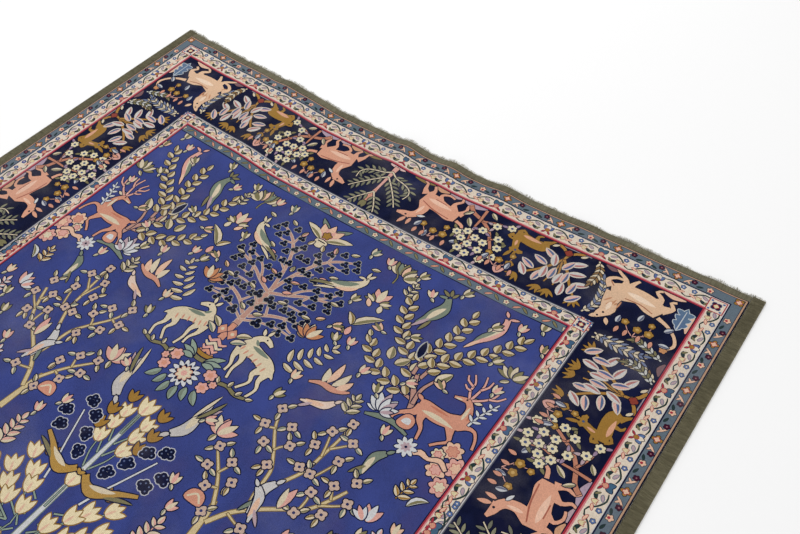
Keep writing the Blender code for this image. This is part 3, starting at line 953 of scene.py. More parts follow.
field.figure(
    (GOLD_BIRD, limb((20, 1332, 15), (34, 1346, 17), (56, 1354, 27), (84, 1342, 20), (112, 1322, 12), (146, 1304, 8)),
     leaf((16, 1330), (2, 1342), 8)),
    (CREAM, leaf((44, 1346), (104, 1326), 13, 3)), (OLIVE, leaf((88, 1350), (150, 1324), 9, -3)),
)
field.lay(INK, disc((20, 1331), 2.6, 6))

# Sprigs and small creatures fill the ground between the trees.
for a, s, turn, size in ((215, 1396, 4, 74), (600, 1140, -6, 62), (330, 1440, 0, 66), (420, 1290, 8, 60)):
    sprig(field, (a, s), size, size * 0.8, turn, 4, (WHITE, CREAM)[a % 2], PINK)
sprig(field, (575, 988), 46, 46, 10, 3, CREAM, GOLD)
field.leafy((602, 990), (636, 956), 15, WHITE, OLIVE, -8)
lily(field, (556, 1066), 44, 0, PINK, WHITE)
lily(field, (548, 1068), 34, -46, WHITE, PINK)
for a, s, turn, outer, centre in (
    (282, 430, 30, CREAM, OLIVE), (196, 440, -10, PINK, CREAM), (140, 436, 20, CREAM, GREY_GREEN),
    (186, 600, 20, CREAM, OLIVE), (262, 726, 0, PINK, CREAM), (228, 736, -20, OLIVE, CREAM), (330, 776, 20, CREAM, PINK),
    (196, 700, 60, PEACH, OLIVE), (392, 800, -20, CREAM, OLIVE), (610, 408, 0, CREAM, OLIVE), (566, 440, 10, PINK, CREAM),
    (400, 416, 30, CREAM, OLIVE), (214, 880, 10, PEACH, CREAM), (210, 940, 30, OLIVE, CREAM), (466, 880, 0, CREAM, PINK),
    (130, 1080, 60, PINK, CREAM), (560, 1110, 20, CREAM, OLIVE), (616, 1060, 0, PEACH, CREAM), (180, 1240, -10, CREAM, PINK),
    (210, 1290, 20, PINK, CREAM), (386, 1380, 0, CREAM, OLIVE), (440, 1200, 30, PINK, CREAM), (556, 1200, 0, CREAM, PINK),
    (620, 1220, -20, OLIVE, CREAM), (250, 1460, 10, CREAM, OLIVE), (470, 1400, 0, PINK, CREAM), (560, 1470, 20, CREAM, PINK),
    (636, 1380, 0, CREAM, OLIVE), (600, 1320, -10, PINK, CREAM), (516, 1150, 20, OLIVE, CREAM), (430, 736, 60, CREAM, PINK),
    (508, 700, -50, PEACH, OLIVE), (366, 612, 60, CREAM, OLIVE), (508, 466, 40, CREAM, OLIVE), (640, 470, 0, PEACH, OLIVE),
    (560, 560, 40, OLIVE, CREAM), (604, 640, 20, CREAM, PINK), (300, 640, -60, PEACH, OLIVE), (340, 470, -20, CREAM, PINK),
):
    lily(field, (a, s), 30, turn, outer, centre)
    field.leafy((a, s), toward((a, s), turn + 150, 15), 8, CREAM, GREY_GREEN)
small_bird(field, (520, 1260), 110, 80, (214, 190, 176), CREAM, OLIVE)
small_bird(field, (356, 1330), 250, 76, GREY_GREEN, PEACH, CREAM, -1)
field.figure(
    (SALMON, limb((520, 1400, 26), (548, 1392, 34), (580, 1396, 32), (604, 1404, 26)),
     limb((604, 1398, 24), (616, 1372, 14), (626, 1358, 11), (640, 1362, 6)),
     limb((524, 1408, 18), (516, 1436, 8), (520, 1456, 6)), limb((540, 1408, 16), (548, 1436, 8), (540, 1456, 6)),
     limb((590, 1410, 16), (596, 1436, 8), (604, 1456, 6)), limb((606, 1408, 16), (622, 1430, 8), (634, 1446, 6)),
     leaf((622, 1354), (618, 1336), 8)),
)
field.lay(CREAM, leaf((530, 1402), (596, 1408), 12))
field.laid[1:] = [(outline - (6.0, 0.0), colour) for outline, colour in field.laid[1:]]

# The frame of the field: the ends alone have one more grey guard line, and a thin dark line all round.
end_guard = np.array([(a, s) for a, s in [(-20, 360), *((a, 360) for a in steps(0, 660, 20)), (660, 385)]])
field.lay((96, 110, 122), np.vstack([end_guard, [(a, 385) for a in steps(660, -20, 20)]]))
field.lay((18, 22, 50), np.array([(-20, 385), (660, 385), (660, 388.5), (-20, 388.5)]))
for i in range(9):
    a = 20 + 78 * i
    field.figure((CREAM, flower((a, 373), 8, 5)), contour=INK, by=1.2)
    field.lay((165, 60, 66), disc((a, 373), 2.5, 6))
    field.figure((SALMON, leaf((a + 20, 380), (a + 38, 367), 6)), (OLIVE, leaf((a + 42, 366), (a + 60, 380), 6)),
                 contour=INK, by=1.2)
pile_finish = knotted_wool()
field_pile = knot("field_pile", field, FIELD_DEPTH, 999.0, 80.0)
field_pile.data.materials.append(pile_finish)

# ---- The inner guard border ------------------------------------------------------------------------------------
# A narrow ivory border round the field, knotted between lines of grey, white, red and pink, with a vine that
# arches over blue flowers. A square block with a flower of its own turns each corner.

GUARD_BLUE, GUARD_IVORY = (98, 111, 122), (221, 206, 188)
TAN_LINE, RED, ROSE, MAROON = (187, 150, 122), (163, 48, 62), (205, 128, 132), (62, 20, 42)
DARK_GREEN, TEAL, BLUE_PETAL = (38, 56, 54), (66, 98, 120), (92, 116, 158)
IVORY_GUARD, IVORY_GUARD_WIDTH = 36.0, 50.0
MAIN_BORDER, INNER_GUARD = 86.0, 276.0
VINE_HALF_REPEAT = 152.0


def round_the_corner(cartoon, first):
    """Repeats what was drawn along the end, from that outline on, down the side of the rug and beyond its turn."""
    for outline, colour in cartoon.laid[first:]:
        down_the_side = CORNER_SUM - outline[:, ::-1]
        beyond = np.stack([down_the_side[:, 0], CORNER_SUM + outline[:, 0]], 1)
        cartoon.laid += [(down_the_side, colour), (beyond, colour)]


def guard_flower(cartoon, a, outer, inner, open_flower):
    """A flower of the ivory vine across the guard, from its outer line to its inner one."""
    mid = (outer + inner) / 2
    if open_flower:
        petals = [leaf((a, mid + 1), (a + dx, outer + dy), 12) for dx, dy in ((-13, 6), (13, 6), (0, 2))]
        cartoon.figure((BLUE_PETAL, petals[0], petals[1]), (IVORY, petals[2]), contour=NAVY, by=1.5)
        cartoon.figure((GOLD, disc((a, mid + 2), 5.5, 8)), contour=RED, by=1.5)
        cartoon.figure((RED, leaf((a - 4, mid + 7), (a - 12, inner - 3), 5), leaf((a + 4, mid + 7), (a + 12, inner - 3), 5)),
                       contour=NAVY, by=0.8)
    else:
        petals = [leaf((a, mid), (a + dx, outer + 3), 13) for dx in (-11, 11)]
        cartoon.figure((TEAL, *petals), contour=NAVY, by=1.6)
        cartoon.figure((SALMON, disc((a, mid + 4), 6.5, 8)), contour=RED, by=1.6)
        for side in (-1, 1):
            cartoon.figure((RED, leaf((a + 4 * side, mid + 8), (a + 17 * side, inner - 4), 5)), contour=NAVY, by=0.8)
            cartoon.lay(PINK, leaf((a + 3 * side, mid + 11), (a + 6 * side, inner - 2), 4))


def guard_vine(cartoon, outer, inner, first, last):
    """The vine from flower to flower, with its leaves and buds, and both its arches."""
    mid = (outer + inner) / 2
    places = np.arange(first, last, VINE_HALF_REPEAT)
    for i, a in enumerate(places):
        for side in (-1, 1) if a < last - VINE_HALF_REPEAT else (-1,):
            def along(reach, down, side=side, a=a):
                return a + side * reach, mid + down
            cartoon.figure((DARK_GREEN, limb(
                (*along(16, -12), 2), (*along(34, -15), 3.2), (*along(54, -4), 3.2), (*along(66, 10), 3), (*along(76, 14), 2),
                step=9)), contour=DARK_GREEN, by=0.4)
            cartoon.figure((DARK_GREEN, leaf(along(22, 12), along(42, 4), 8, 2 * side)), contour=NAVY, by=0.8)
            cartoon.figure((PALE_YELLOW, *(leaf(along(46, 13), along(46 + d, -1), 5) for d in (-5, 0, 6))), contour=RED, by=1)
            cartoon.figure((LILAC, leaf(along(24, -2), along(40, -9), 7)), contour=TEAL, by=1.1)
            cartoon.figure((BLUE_PETAL, flower(along(62, -11), 6.5, 5, 0.3)), contour=NAVY, by=1)
            cartoon.lay(IVORY, disc(along(62, -11), 2, 6))
            cartoon.figure((PEACH, leaf(along(54, 8), along(70, 2), 6)), contour=RED, by=1.1)
            cartoon.figure((OLIVE, leaf(along(30, 14), along(20, 3), 5)), contour=DARK_GREEN, by=0.8)
        if a < last - VINE_HALF_REPEAT:
            guard_flower(cartoon, a, outer, inner, i % 2 == 1)


def corner_block(cartoon, depth, width):
    """The square that turns an ivory guard's corner."""
    a, s = PILE_EDGE_A - depth - width / 2, PILE_EDGE_S + depth + width / 2
    half = width / 2
    square = np.array([(-half, -half), (half, -half), (half, half), (-half, half)])
    cartoon.lay(RED, square + (a, s))
    cartoon.lay(GUARD_IVORY, square * 0.88 + (a, s))
    cartoon.figure((MAROON, flower((a, s), half * 0.62, 4, 0.4, 45)), contour=TEAL, by=1.6)
    cartoon.figure((PALE_YELLOW, flower((a, s), half * 0.3, 4, 0.3)), contour=RED, by=1.5)
    for dx, dy in ((-1, -1), (1, -1), (1, 1), (-1, 1)):
        cartoon.lay(BLUE_PETAL, disc((a + dx * half * 0.66, s + dy * half * 0.66), 3.4, 6))


inner_guard = Cartoon()
inner_guard.frame((90, 92, 104), MAIN_BORDER + 190)
inner_guard.frame((196, 192, 190), INNER_GUARD + 2.5)
inner_guard.frame((86, 78, 92), INNER_GUARD + 5)
inner_guard.frame(GUARD_IVORY, INNER_GUARD + 7)
vine_top, vine_foot = PILE_EDGE_S + INNER_GUARD + 7, PILE_EDGE_S + INNER_GUARD + 39
inner_guard.frame(ROSE, INNER_GUARD + 39)
inner_guard.frame(RED, INNER_GUARD + 42)
inner_guard.frame(NAVY, INNER_GUARD + 45.5)
drawn = len(inner_guard.laid)
guard_vine(inner_guard, vine_top, vine_foot, -10.0, 751.0)
round_the_corner(inner_guard, drawn)
corner_block(inner_guard, INNER_GUARD + 5, 36)
inner_guard_pile = knot("inner_guard_pile", inner_guard, INNER_GUARD, FIELD_DEPTH, 70.0)
inner_guard_pile.data.materials.append(pile_finish)

# ---- The main border -------------------------------------------------------------------------------------------
# The wide border is nearly black, with a frieze of willows, blossom trees, foxes, hares and lions that all stand
# on its outer line. The frieze is drawn once along the end and repeated down the sides.

BORDER_NAVY = (13, 18, 46)
main_border = Cartoon()
main_border.frame(BORDER_NAVY, MAIN_BORDER)
drawn = len(main_border.laid)
FINE = {"contour": (8, 10, 28), "by": 1.6}

# The willow of the turn, hung with bar-shaped leaflets, and the strips of ground beside it.
for colour, left, right, high in (
    ((214, 180, 176), 0, 26, 132), (OLIVE_GOLD, 58, 126, 134), ((200, 152, 120), 128, 172, 138), (LILAC, 174, 214, 134),
    ((172, 150, 166), 216, 290, 140), ((150, 138, 148), 498, 592, 127), ((122, 92, 96), 630, 672, 138),
    (PEACH, 782, 842, 138),
):
    main_border.figure((colour, blob(
        (left, 127), ((left + right) / 2, high), (right, 127), (right - 4, 121), ((left + right) / 2, 123), (left + 4, 121),
    )), **FINE)
main_border.figure((PINK, limb((0, 128, 15), (0, 180, 9), (0, 226, 8), (0, 262, 16), (0, 300, 13))), **FINE)
main_border.lay(SALMON, limb((0, 226, 4), (0, 262, 9), (0, 296, 6)))
for points in (
    ((0, 150), (20, 164), (54, 172), (74, 182), (84, 200), (80, 222)), ((0, 172), (28, 200), (56, 232), (78, 262)),
    ((0, 242), (18, 268), (32, 290), (42, 310)),
):
    main_border.figure((CREAM, stem(4.5, *points)), **FINE)
    line = curve(points, step=2.0)
    for place_on in range(10, len(line) - 4, 8):
        at, ahead = line[place_on], line[place_on + 3]
        heading = math.degrees(math.atan2(ahead[0] - at[0], at[1] - ahead[1]))
        for side in (-1, 1):
            start = toward(at, heading + side * 62, 3)
            shade = ((112, 112, 96), (136, 134, 110))[place_on // 8 % 2]
            main_border.figure((shade, leaf(start, toward(at, heading + side * 48, 25), 7.5)), **FINE)
main_border.figure((OLIVE, leaf((2, 284), (6, 311), 13)), **FINE)

# A fox looks back over its shoulder under a cluster of buds.
FOX = (216, 158, 132)
main_border.figure(
    (FOX,
     limb((122, 176, 40), (150, 180, 52), (186, 188, 46), (216, 194, 50), (236, 196, 34)),
     limb((138, 190, 40), (146, 222, 26), (138, 248, 22), (124, 258, 22)),
     limb((130, 258, 24), (112, 260, 19), (92, 266, 8)),
     limb((120, 166, 22), (108, 148, 11), (104, 130, 7), (92, 124, 6)), limb((132, 164, 22), (136, 144, 10), (128, 128, 7)),
     limb((168, 168, 20), (160, 146, 9), (178, 134, 7), (196, 138, 6)),
     limb((214, 178, 28), (206, 154, 11), (218, 136, 8), (214, 124, 6)),
     limb((234, 184, 22), (244, 160, 10), (240, 140, 7), (250, 130, 6)),
     leaf((124, 270), (114, 300), 11), leaf((138, 266), (138, 294), 10),
     limb((240, 206, 10), (262, 214, 9), (270, 232, 5), (262, 246, 3))), **FINE,
)
main_border.lay((232, 190, 166), leaf((136, 176), (212, 180), 16), leaf((142, 206), (138, 244), 9))
main_border.lay((166, 96, 78), limb((128, 192, 3), (170, 206, 4), (220, 212, 3)), limb((154, 168, 3), (190, 170, 3)))
main_border.figure((WHITE, leaf((146, 250), (166, 240), 8)), **FINE)
main_border.lay(INK, disc((118, 262), 3.2, 7))


def bud_cluster(cartoon, a, s, leaves):
    """Gold buds, striped leaves and hanging drops on thin pink stems."""
    for da, ds in ((-30, -4), (2, 4), (30, -26), (32, 4)):
        cartoon.figure((PINK, stem(2.6, (a, s + 26), (a + da * 0.6, s + 12), (a + da, s + ds))), **FINE)
    for da, ds, r in ((-32, -8, 10), (2, 0, 11), (26, -30, 9), (30, -2, 12)):
        cartoon.figure((GOLD, flower((a + da, s + ds), r, 5, 0.22)), **FINE)
        cartoon.lay((196, 160, 96), disc((a + da, s + ds), r * 0.4, 7))
    for da, ds, turn in leaves:
        cartoon.leafy((a + da, s + ds), toward((a + da, s + ds), turn, 26), 12, (190, 192, 196), (96, 100, 122))
    for da in (-40, -18, 14, 44):
        cartoon.figure((SALMON, leaf((a + da, s + 14), (a + da * 1.05, s + 36), 10)), **FINE)


bud_cluster(main_border, 208, 270, ((-50, 12, 20), (52, -40, 80), (56, 10, 60), (-12, 34, 0)))

# A crooked blossom tree on a lilac rock.
for points, width in (
    (((246, 134), (262, 152), (300, 168), (330, 190), (346, 215), (366, 250), (360, 278)), 12),
    (((290, 128), (292, 170), (292, 204), (302, 252)), 8), (((330, 190), (336, 172), (340, 164)), 5),
    (((292, 204), (284, 230), (282, 250)), 5), (((346, 215), (360, 206), (366, 200)), 5),
    (((300, 168), (340, 152), (372, 148)), 6), (((302, 252), (294, 270), (292, 284)), 4),
    (((366, 250), (378, 252), (382, 264)), 4), (((346, 215), (340, 236), (338, 262)), 4),
):
    main_border.figure(((184, 124, 100), stem(width, *points, thin=0.5)), **FINE)
for base, tip, width in (((262, 176), (282, 204), 13), ((306, 128), (328, 144), 12), ((262, 150), (244, 172), 10)):
    main_border.leafy(base, tip, width, CREAM, OLIVE)
BORDER_BLOSSOMS = (
    (285, 220), (282, 250), (292, 285), (340, 163), (375, 147), (365, 202), (312, 230), (338, 235), (378, 232),
    (307, 260), (340, 265), (382, 266), (360, 291), (316, 196), (262, 236), (318, 292),
)
for i, (a, s) in enumerate(BORDER_BLOSSOMS):
    for turn in (30 + 80 * (i % 4), 200 + 60 * (i % 3)):
        start = toward((a, s), turn, 9)
        main_border.figure(((LILAC, (150, 128, 150), OLIVE)[i % 3], leaf(start, toward(start, turn, 19), 8)), **FINE)
for i, (a, s) in enumerate(BORDER_BLOSSOMS):
    main_border.figure(((218, 206, 172), flower((a, s), 13, 6, 0.3, 11 * i)), **FINE)
    main_border.lay((62, 78, 112), disc((a, s), 4, 7))
main_border.figure((PINK, *fan((414, 306), 34, 11, -28, 0, 28)), **FINE)

# A golden hare, and the golden tree with hand-shaped roots.
main_border.figure(
    (GOLD,
     limb((392, 156, 26), (420, 158, 34), (446, 162, 32), (470, 158, 34), (486, 150, 18)),
     limb((402, 164, 26), (408, 186, 18), (414, 204, 18), (404, 214, 12)), limb((412, 206, 18), (430, 210, 14), (438, 206, 8)),
     leaf((412, 214), (402, 244), 10), leaf((420, 214), (426, 244), 10),
     limb((396, 148, 14), (404, 134, 8), (420, 146, 6)), limb((390, 160, 13), (380, 172, 8), (400, 178, 5)),
     limb((470, 146, 20), (484, 132, 9), (492, 122, 6)), limb((448, 150, 14), (446, 132, 8), (458, 124, 6))), **FINE,
)
main_border.lay((214, 160, 130), leaf((410, 150), (464, 150), 12), leaf((406, 174), (410, 196), 7))
main_border.lay((60, 82, 122), disc((418, 208), 3.4, 7))
for points, width in (
    (((500, 126), (520, 134), (536, 152), (536, 176)), 9), (((574, 126), (554, 134), (538, 152), (536, 176)), 9),
    (((536, 168), (514, 208), (490, 240), (462, 268)), 8), (((536, 168), (560, 200), (586, 240), (610, 270)), 8),
    (((536, 176), (534, 220), (528, 262)), 5), (((536, 180), (548, 226), (552, 262)), 5),
):
    main_border.figure(((168, 124, 62), stem(width, *points, thin=0.7)), **FINE)
main_border.figure(((140, 62, 50), flower((536, 142), 11, 4, 0.25)), **FINE)
for a, s, turn in ((460, 276, 200), (523, 280, 184), (548, 280, 172), (612, 276, 160)):
    main_border.figure((GOLD, *fan((a, s), 30, 8, turn - 44, turn - 15, turn + 15, turn + 44)), **FINE)
for i, (a, s, turn) in enumerate((
    (516, 176, -60), (558, 176, 60), (506, 206, -70), (568, 206, 70), (484, 236, -66), (590, 236, 66), (500, 272, 8),
    (514, 252, -6), (532, 246, 0), (550, 254, 6), (566, 244, 0), (576, 284, -8), (594, 268, 6), (524, 200, -20),
    (548, 200, 24), (476, 268, -40), (600, 292, 40),
)):
    light, dark = (((216, 172, 160), (86, 108, 140)), ((200, 198, 196), (176, 116, 112)))[i % 2]
    main_border.leafy((a, s), toward((a, s), turn, 40), 15, light, dark, 0.0, (206, 196, 184))
for a in (497, 575):
    main_border.figure((CREAM, leaf((a - 8, 140), (a + 8, 128), 8)), **FINE)


def feather(cartoon, points, length, gap, dark, light, width=6.5):
    """A long leaf cut like a feather, with light edges."""
    line = curve(points, step=2.0)
    cartoon.figure((light, stem(4, *points)), **FINE)
    for on in range(4, len(line) - 3, max(2, int(gap / 2))):
        at, ahead = line[on], line[on + 2]
        heading = math.degrees(math.atan2(ahead[0] - at[0], at[1] - ahead[1]))
        size = length * math.sin(math.pi * (0.2 + 0.7 * on / len(line)))
        for side in (-1, 1):
            cartoon.figure(((light, dark)[on // max(2, int(gap / 2)) % 2], leaf(at, toward(at, heading + side * 38, size), width)),
                           **FINE)
    cartoon.figure((dark, leaf(line[-6], toward(line[-1], heading, 10), width)), **FINE)


feather(main_border, ((612, 126), (626, 156), (628, 186), (622, 214)), 22, 10, (134, 104, 68), CREAM)
feather(main_border, ((648, 300), (664, 262), (662, 214), (644, 166)), 22, 12, (112, 122, 150), CREAM)
bud_cluster(main_border, 400, 262, ((-40, 20, 20), (30, 20, 0)))

# Two feathers that only the side shows.
side_only = Cartoon()
for points, dark in ((((866, 330), (836, 318), (800, 306), (782, 312)), OLIVE), (((876, 402), (850, 384), (820, 372), (796, 380)), OLIVE)):
    feather(side_only, points, 18, 10, dark, (196, 196, 190))

# The lion of the corner, its tail over its back, with an oak leaf behind it.
LION = (221, 184, 152)
round_the_corner(main_border, drawn)
main_border.laid += side_only.laid
main_border.figure(
    (LION,
     limb((676, 196, 44), (704, 186, 56), (744, 178, 48), (782, 190, 56), (806, 202, 40)),
     limb((690, 200, 48), (690, 232, 38), (696, 254, 38), (690, 270, 30)), limb((696, 262, 32), (684, 284, 20), (680, 294, 10)),
     limb((672, 184, 26), (656, 168, 13), (670, 152, 9), (690, 148, 7)),
     limb((700, 170, 24), (694, 146, 12), (670, 130, 8), (660, 122, 6)),
     limb((708, 168, 20), (716, 144, 11), (724, 130, 7)),
     limb((782, 176, 34), (790, 154, 14), (772, 138, 9), (784, 128, 7)),
     limb((804, 186, 30), (826, 168, 12), (814, 152, 9), (826, 144, 7)),
     limb((806, 214, 12), (836, 226, 9), (862, 248, 8), (872, 274, 8), (856, 296, 6)),
     leaf((684, 286), (668, 302), 12), leaf((704, 284), (716, 304), 11)), **FINE,
)
main_border.figure(((196, 140, 96), flower((856, 298), 10, 5, 0.3)), **FINE)
main_border.lay((196, 140, 104), *(leaf((690 + 6 * i, 216 + 10 * (i % 2)), (676 + 9 * i, 238 + 9 * (i % 3)), 5) for i in range(5)))
main_border.lay((236, 210, 186), leaf((712, 180), (790, 186), 17), leaf((694, 230), (694, 262), 12))
main_border.lay((170, 112, 84), limb((716, 202, 3), (756, 200, 3.5), (790, 210, 3)), limb((676, 180, 3), (664, 168, 3)))
main_border.lay(BORDER_NAVY, leaf((716, 224), (742, 222), 9))
main_border.lay(INK, disc((692, 272), 3.2, 7), disc((684, 288), 3, 6))
oak = []
for i, s in enumerate((164, 182, 200)):
    oak += [leaf((856, s + 6), toward((856, s + 6), side * 62, 24 - 2 * i), 15) for side in (-1, 1)]
main_border.figure(((92, 116, 140), leaf((856, 224), (856, 146), 24), *oak), contour=(190, 196, 200), by=1.8)
main_border.lay((196, 200, 202), stem(3, (856, 222), (856, 156)))
bud_cluster(main_border, 780, 276, ((-50, 6, 0), (-8, -26, 10), (56, -30, 40), (60, 12, 80)))
feather(main_border, ((704, 340), (742, 350), (790, 350), (836, 336)), 22, 12, (112, 122, 150), CREAM)
main_border_pile = knot("main_border_pile", main_border, MAIN_BORDER, INNER_GUARD, 60.0)
main_border_pile.data.materials.append(pile_finish)

# ---- The outer guard borders -----------------------------------------------------------------------------------
# Two narrow borders finish the pile: an ivory one like the guard round the field, and a blue-grey one at the very
# edge with stars, little flowers and crooked leaves. The pile is worn down and rounded where it meets the ends.

outer_guards = Cartoon()
outer_guards.frame(INK, 0.0)
outer_guards.frame(TAN_LINE, 3.0)
outer_guards.frame((24, 28, 56), 7.0)
outer_guards.frame(GUARD_BLUE, 8.5)
outer_guards.frame(NAVY, 32.5)
outer_guards.frame((206, 200, 196), IVORY_GUARD)
outer_guards.frame(GUARD_IVORY, IVORY_GUARD + 2.5)
outer_guards.frame(ROSE, IVORY_GUARD + 40)
outer_guards.frame(RED, IVORY_GUARD + 43.5)
outer_guards.frame((16, 18, 44), IVORY_GUARD + 47.5)
drawn = len(outer_guards.laid)
guard_vine(outer_guards, PILE_EDGE_S + IVORY_GUARD + 3, PILE_EDGE_S + IVORY_GUARD + 40, -5.0, 910.0)
GREY_MID = PILE_EDGE_S + 20.5
for a in (0, *range(150, 900, 160)):
    outer_guards.figure((GOLD, flower((a, GREY_MID), 12.5, 4, 0.5)), contour=INK, by=1.4)
    outer_guards.figure((PEACH, flower((a, GREY_MID), 7, 4, 0.4)), contour=RED, by=1.4)
    for side in (-1, 1):
        def beside(reach, down, side=side, a=a):
            return a + side * reach, GREY_MID + down
        outer_guards.figure((PEACH, limb((*beside(20, 9), 3), (*beside(27, 1), 5), (*beside(37, -8), 3.5)),
                             leaf(beside(27, 1), beside(36, 9), 5)), contour=INK, by=1)
        outer_guards.figure((MAROON, flower(beside(43, -4), 8, 5, 0.3)), contour=INK, by=0.8)
        outer_guards.lay((150, 96, 100), disc(beside(43, -4), 2.2, 6))
        outer_guards.figure((DARK_GREEN, leaf(beside(52, 8), beside(68, 2), 6)), contour=INK, by=0.6)
for a in range(70, 900, 160):
    outer_guards.figure((PEACH, flower((a + 5, GREY_MID + 1), 9, 5, 0.35)), contour=INK, by=1.2)
    outer_guards.lay(RED, disc((a + 5, GREY_MID + 3), 3.6, 7))
round_the_corner(outer_guards, drawn)
star = (PILE_EDGE_A - 19, PILE_EDGE_S + 19)
outer_guards.figure((GOLD, flower(star, 13, 4, 0.45, 45)), contour=INK, by=1.4)
outer_guards.figure((PEACH, flower(star, 7, 4, 0.4)), contour=RED, by=1.4)
corner_block(outer_guards, IVORY_GUARD + 2, 44)
outer_guard_pile = knot("outer_guard_pile", outer_guards, 0.0, MAIN_BORDER, 60.0)
outer_guard_pile.data.materials.append(pile_finish)

# ---- The end webs ----------------------------------------------------------------------------------------------
# Past the last row of knots, a hand's breadth less than an inch of plain weave in olive-grey wool holds the pile at
# each end. Wear has felted it into a soft ribbed roll with a ragged edge, standing on the foundation's warps.

WEB_START, WEB_END = FRINGE_LENGTH + CLEARANCE, FRINGE_LENGTH + WEB_WIDTH
WEB_THICKNESS, WEB_RIB, WEB_RAGGED = 0.0052, 0.0016, 0.0022


def woven_wool(name, dark, light, along_x, pitch):
    """Plain-woven or overcast olive-grey wool: fine threads that run one way, uneven in tone, rubbed pale, with painted
    shade in the grooves between the plies.
    """
    finish, shader, where, x, y, z = begin_finish(name)
    across, along = (y, x) if along_x else (x, y)
    threads = noise(stretched(where, across, along, z, (60.0, 1.0 / pitch, 60.0)), 1.0, 2.0)
    ply = (along / pitch * 2.0 * math.pi).math("SINE") * 0.5 + 0.5
    patches = noise(where, 9.0, 4.0, 0.6)
    streaks = noise(stretched(where, across, along, z, (18.0, 160.0, 18.0)), 1.0, 3.0)
    lightness = threads * 0.55 + patches * 0.5 + streaks * 0.35 - 0.2
    stops = ((0.22, (*linear(dark), 1.0)), (0.62, (*linear(light), 1.0)))
    colour = where.node("ShaderNodeValToRGB", {"stops": stops}, Fac=lightness)
    fluff = noise(where, 900.0, 2.0)
    # Painted shade: the wool darkens in the groove between each ply and the next.
    colour = colour.mixed((1.0 - ply) * 0.35, (*linear((38, 36, 26)), 1.0))
    end_finish(shader, colour, 0.86 + fluff * 0.12, ply * 0.6 + fluff * 0.7, 0.0009, 0.06, 0.05)
    return finish


def ragged(u, seed):
    """An uneven edge: slow and quick waves that never repeat within the rug's width."""
    waves = ((7.3, 0.34), (19.1, 0.26), (47.7, 0.22), (113.0, 0.18))
    return sum(share * np.sin(u * rate + seed * (1.3 + rate)) for rate, share in waves)


def end_web(name, far_end):
    """The felted roll of one end, ribbed by its wefts."""
    rows = steps(WEB_START, WEB_END, WEB_RIB / 2)
    rib = {round(s, 6): 1.0 if i % 2 else 0.0 for i, s in enumerate(rows)}
    edge = 1.0 if far_end else 5.0

    def from_end(s):
        return s if far_end else LENGTH - s

    def top(u, s):
        inward = (from_end(s) - WEB_START) / (WEB_END - WEB_START)
        roll = 0.45 + 0.55 * np.sqrt(np.clip(1.0 - (1.25 * (inward - 0.62)) ** 2, 0.0, 1.0))
        ribs = np.vectorize(lambda value: rib.get(round(float(value), 6), 0.0))(from_end(s))
        return WEB_THICKNESS * roll + 0.0004 * ribs + 0.0003 * ragged(u * 9.0, 2.0)

    web_rows = [s if far_end else LENGTH - s for s in rows]
    web = slab(name, steps(-PILE_HALF_WIDTH, PILE_HALF_WIDTH, 0.008), sorted(web_rows), lambda u, s: 0.0, top, web_finish)
    limit = WEB_START + 0.004
    for vertex in web.data.vertices:
        u = vertex.co.x
        sign = 1.0 if far_end else -1.0
        share = 1.0 - min(1.0, max(0.0, (from_end_of(vertex.co, far_end) - WEB_START) / (limit - WEB_START)))
        vertex.co.y -= sign * share * WEB_RAGGED * (1.0 + float(ragged(u, edge)))
    return web


def from_end_of(point, far_end):
    """How far down the cloth plan a placed point lies from its own end of the rug, near that end."""
    y = point.y + float(end_fall(np.array(point.x))) if far_end else -point.y
    return LENGTH / 2.0 - y


web_finish = woven_wool("felted_web_wool", (84, 80, 62), (142, 136, 112), True, 0.0016)
far_web, near_web = end_web("far_end_web", True), end_web("near_end_web", False)

# ---- The overcast sides ----------------------------------------------------------------------------------------
# Down each side a flat band of edge cords is overcast with olive-grey wool, turn by turn, to guard the edge from
# wear. The turns sit close but not quite even, and here and there the yarn has worn.

WRAP_PITCH, WRAP_THICKNESS, WRAP_LEAN = 0.0030, 0.0016, 0.06
BAND_THICKNESS = 0.0042
BAND_FROM = FRINGE_LENGTH + CLEARANCE
band_finish = woven_wool("overcasting_wool", (92, 88, 68), (140, 133, 106), False, 0.0015)


def tree_input(tree, name, kind, default):
    socket = tree.interface.new_socket(name, in_out="INPUT", socket_type=kind)
    if default is not None:
        socket.default_value = default
    return socket.identifier


def grown(name, base, tree, values):
    """The plain mesh that a Geometry Nodes tree grows on a base, as a new object. The base is used up."""
    grower = base.modifiers.new(name, "NODES")
    grower.node_group = tree
    for identifier, value in values.items():
        grower[identifier] = value
    scene.collection.objects.link(base)
    bpy.context.view_layer.update()
    evaluated = base.evaluated_get(bpy.context.evaluated_depsgraph_get())
    mesh = bpy.data.meshes.new_from_object(evaluated)
    mesh.name = name
    finish = next(finish for finish in mesh.materials if finish)
    mesh.materials.clear()
    mesh.materials.append(finish)
    mesh.polygons.foreach_set("material_index", [0] * len(mesh.polygons))
    bpy.data.objects.remove(base)
    piece = bpy.data.objects.new(name, mesh)
    scene.collection.objects.link(piece)
    return piece


def path_of(name, points):
    """A line of edges through points."""
    data = bpy.data.meshes.new(name)
    data.from_pydata(np.asarray(points).tolist(), [(i, i + 1) for i in range(len(points) - 1)], [])
    return bpy.data.objects.new(name, data)


def add_node(tree, kind, settings=None, **values):
    """A node of a Geometry Nodes tree, with settings and with the values or links of its sockets."""
    node = tree.nodes.new(kind)
    for setting, value in (settings or {}).items():
        setattr(node, setting, value)
    for label, value in values.items():
        socket = node.inputs[int(label[1:])] if label[1:].isdigit() else node.inputs[label.replace("_", " ")]
        if isinstance(value, bpy.types.NodeSocket):
            tree.links.new(value, socket)
        else:
            socket.default_value = value
    return node


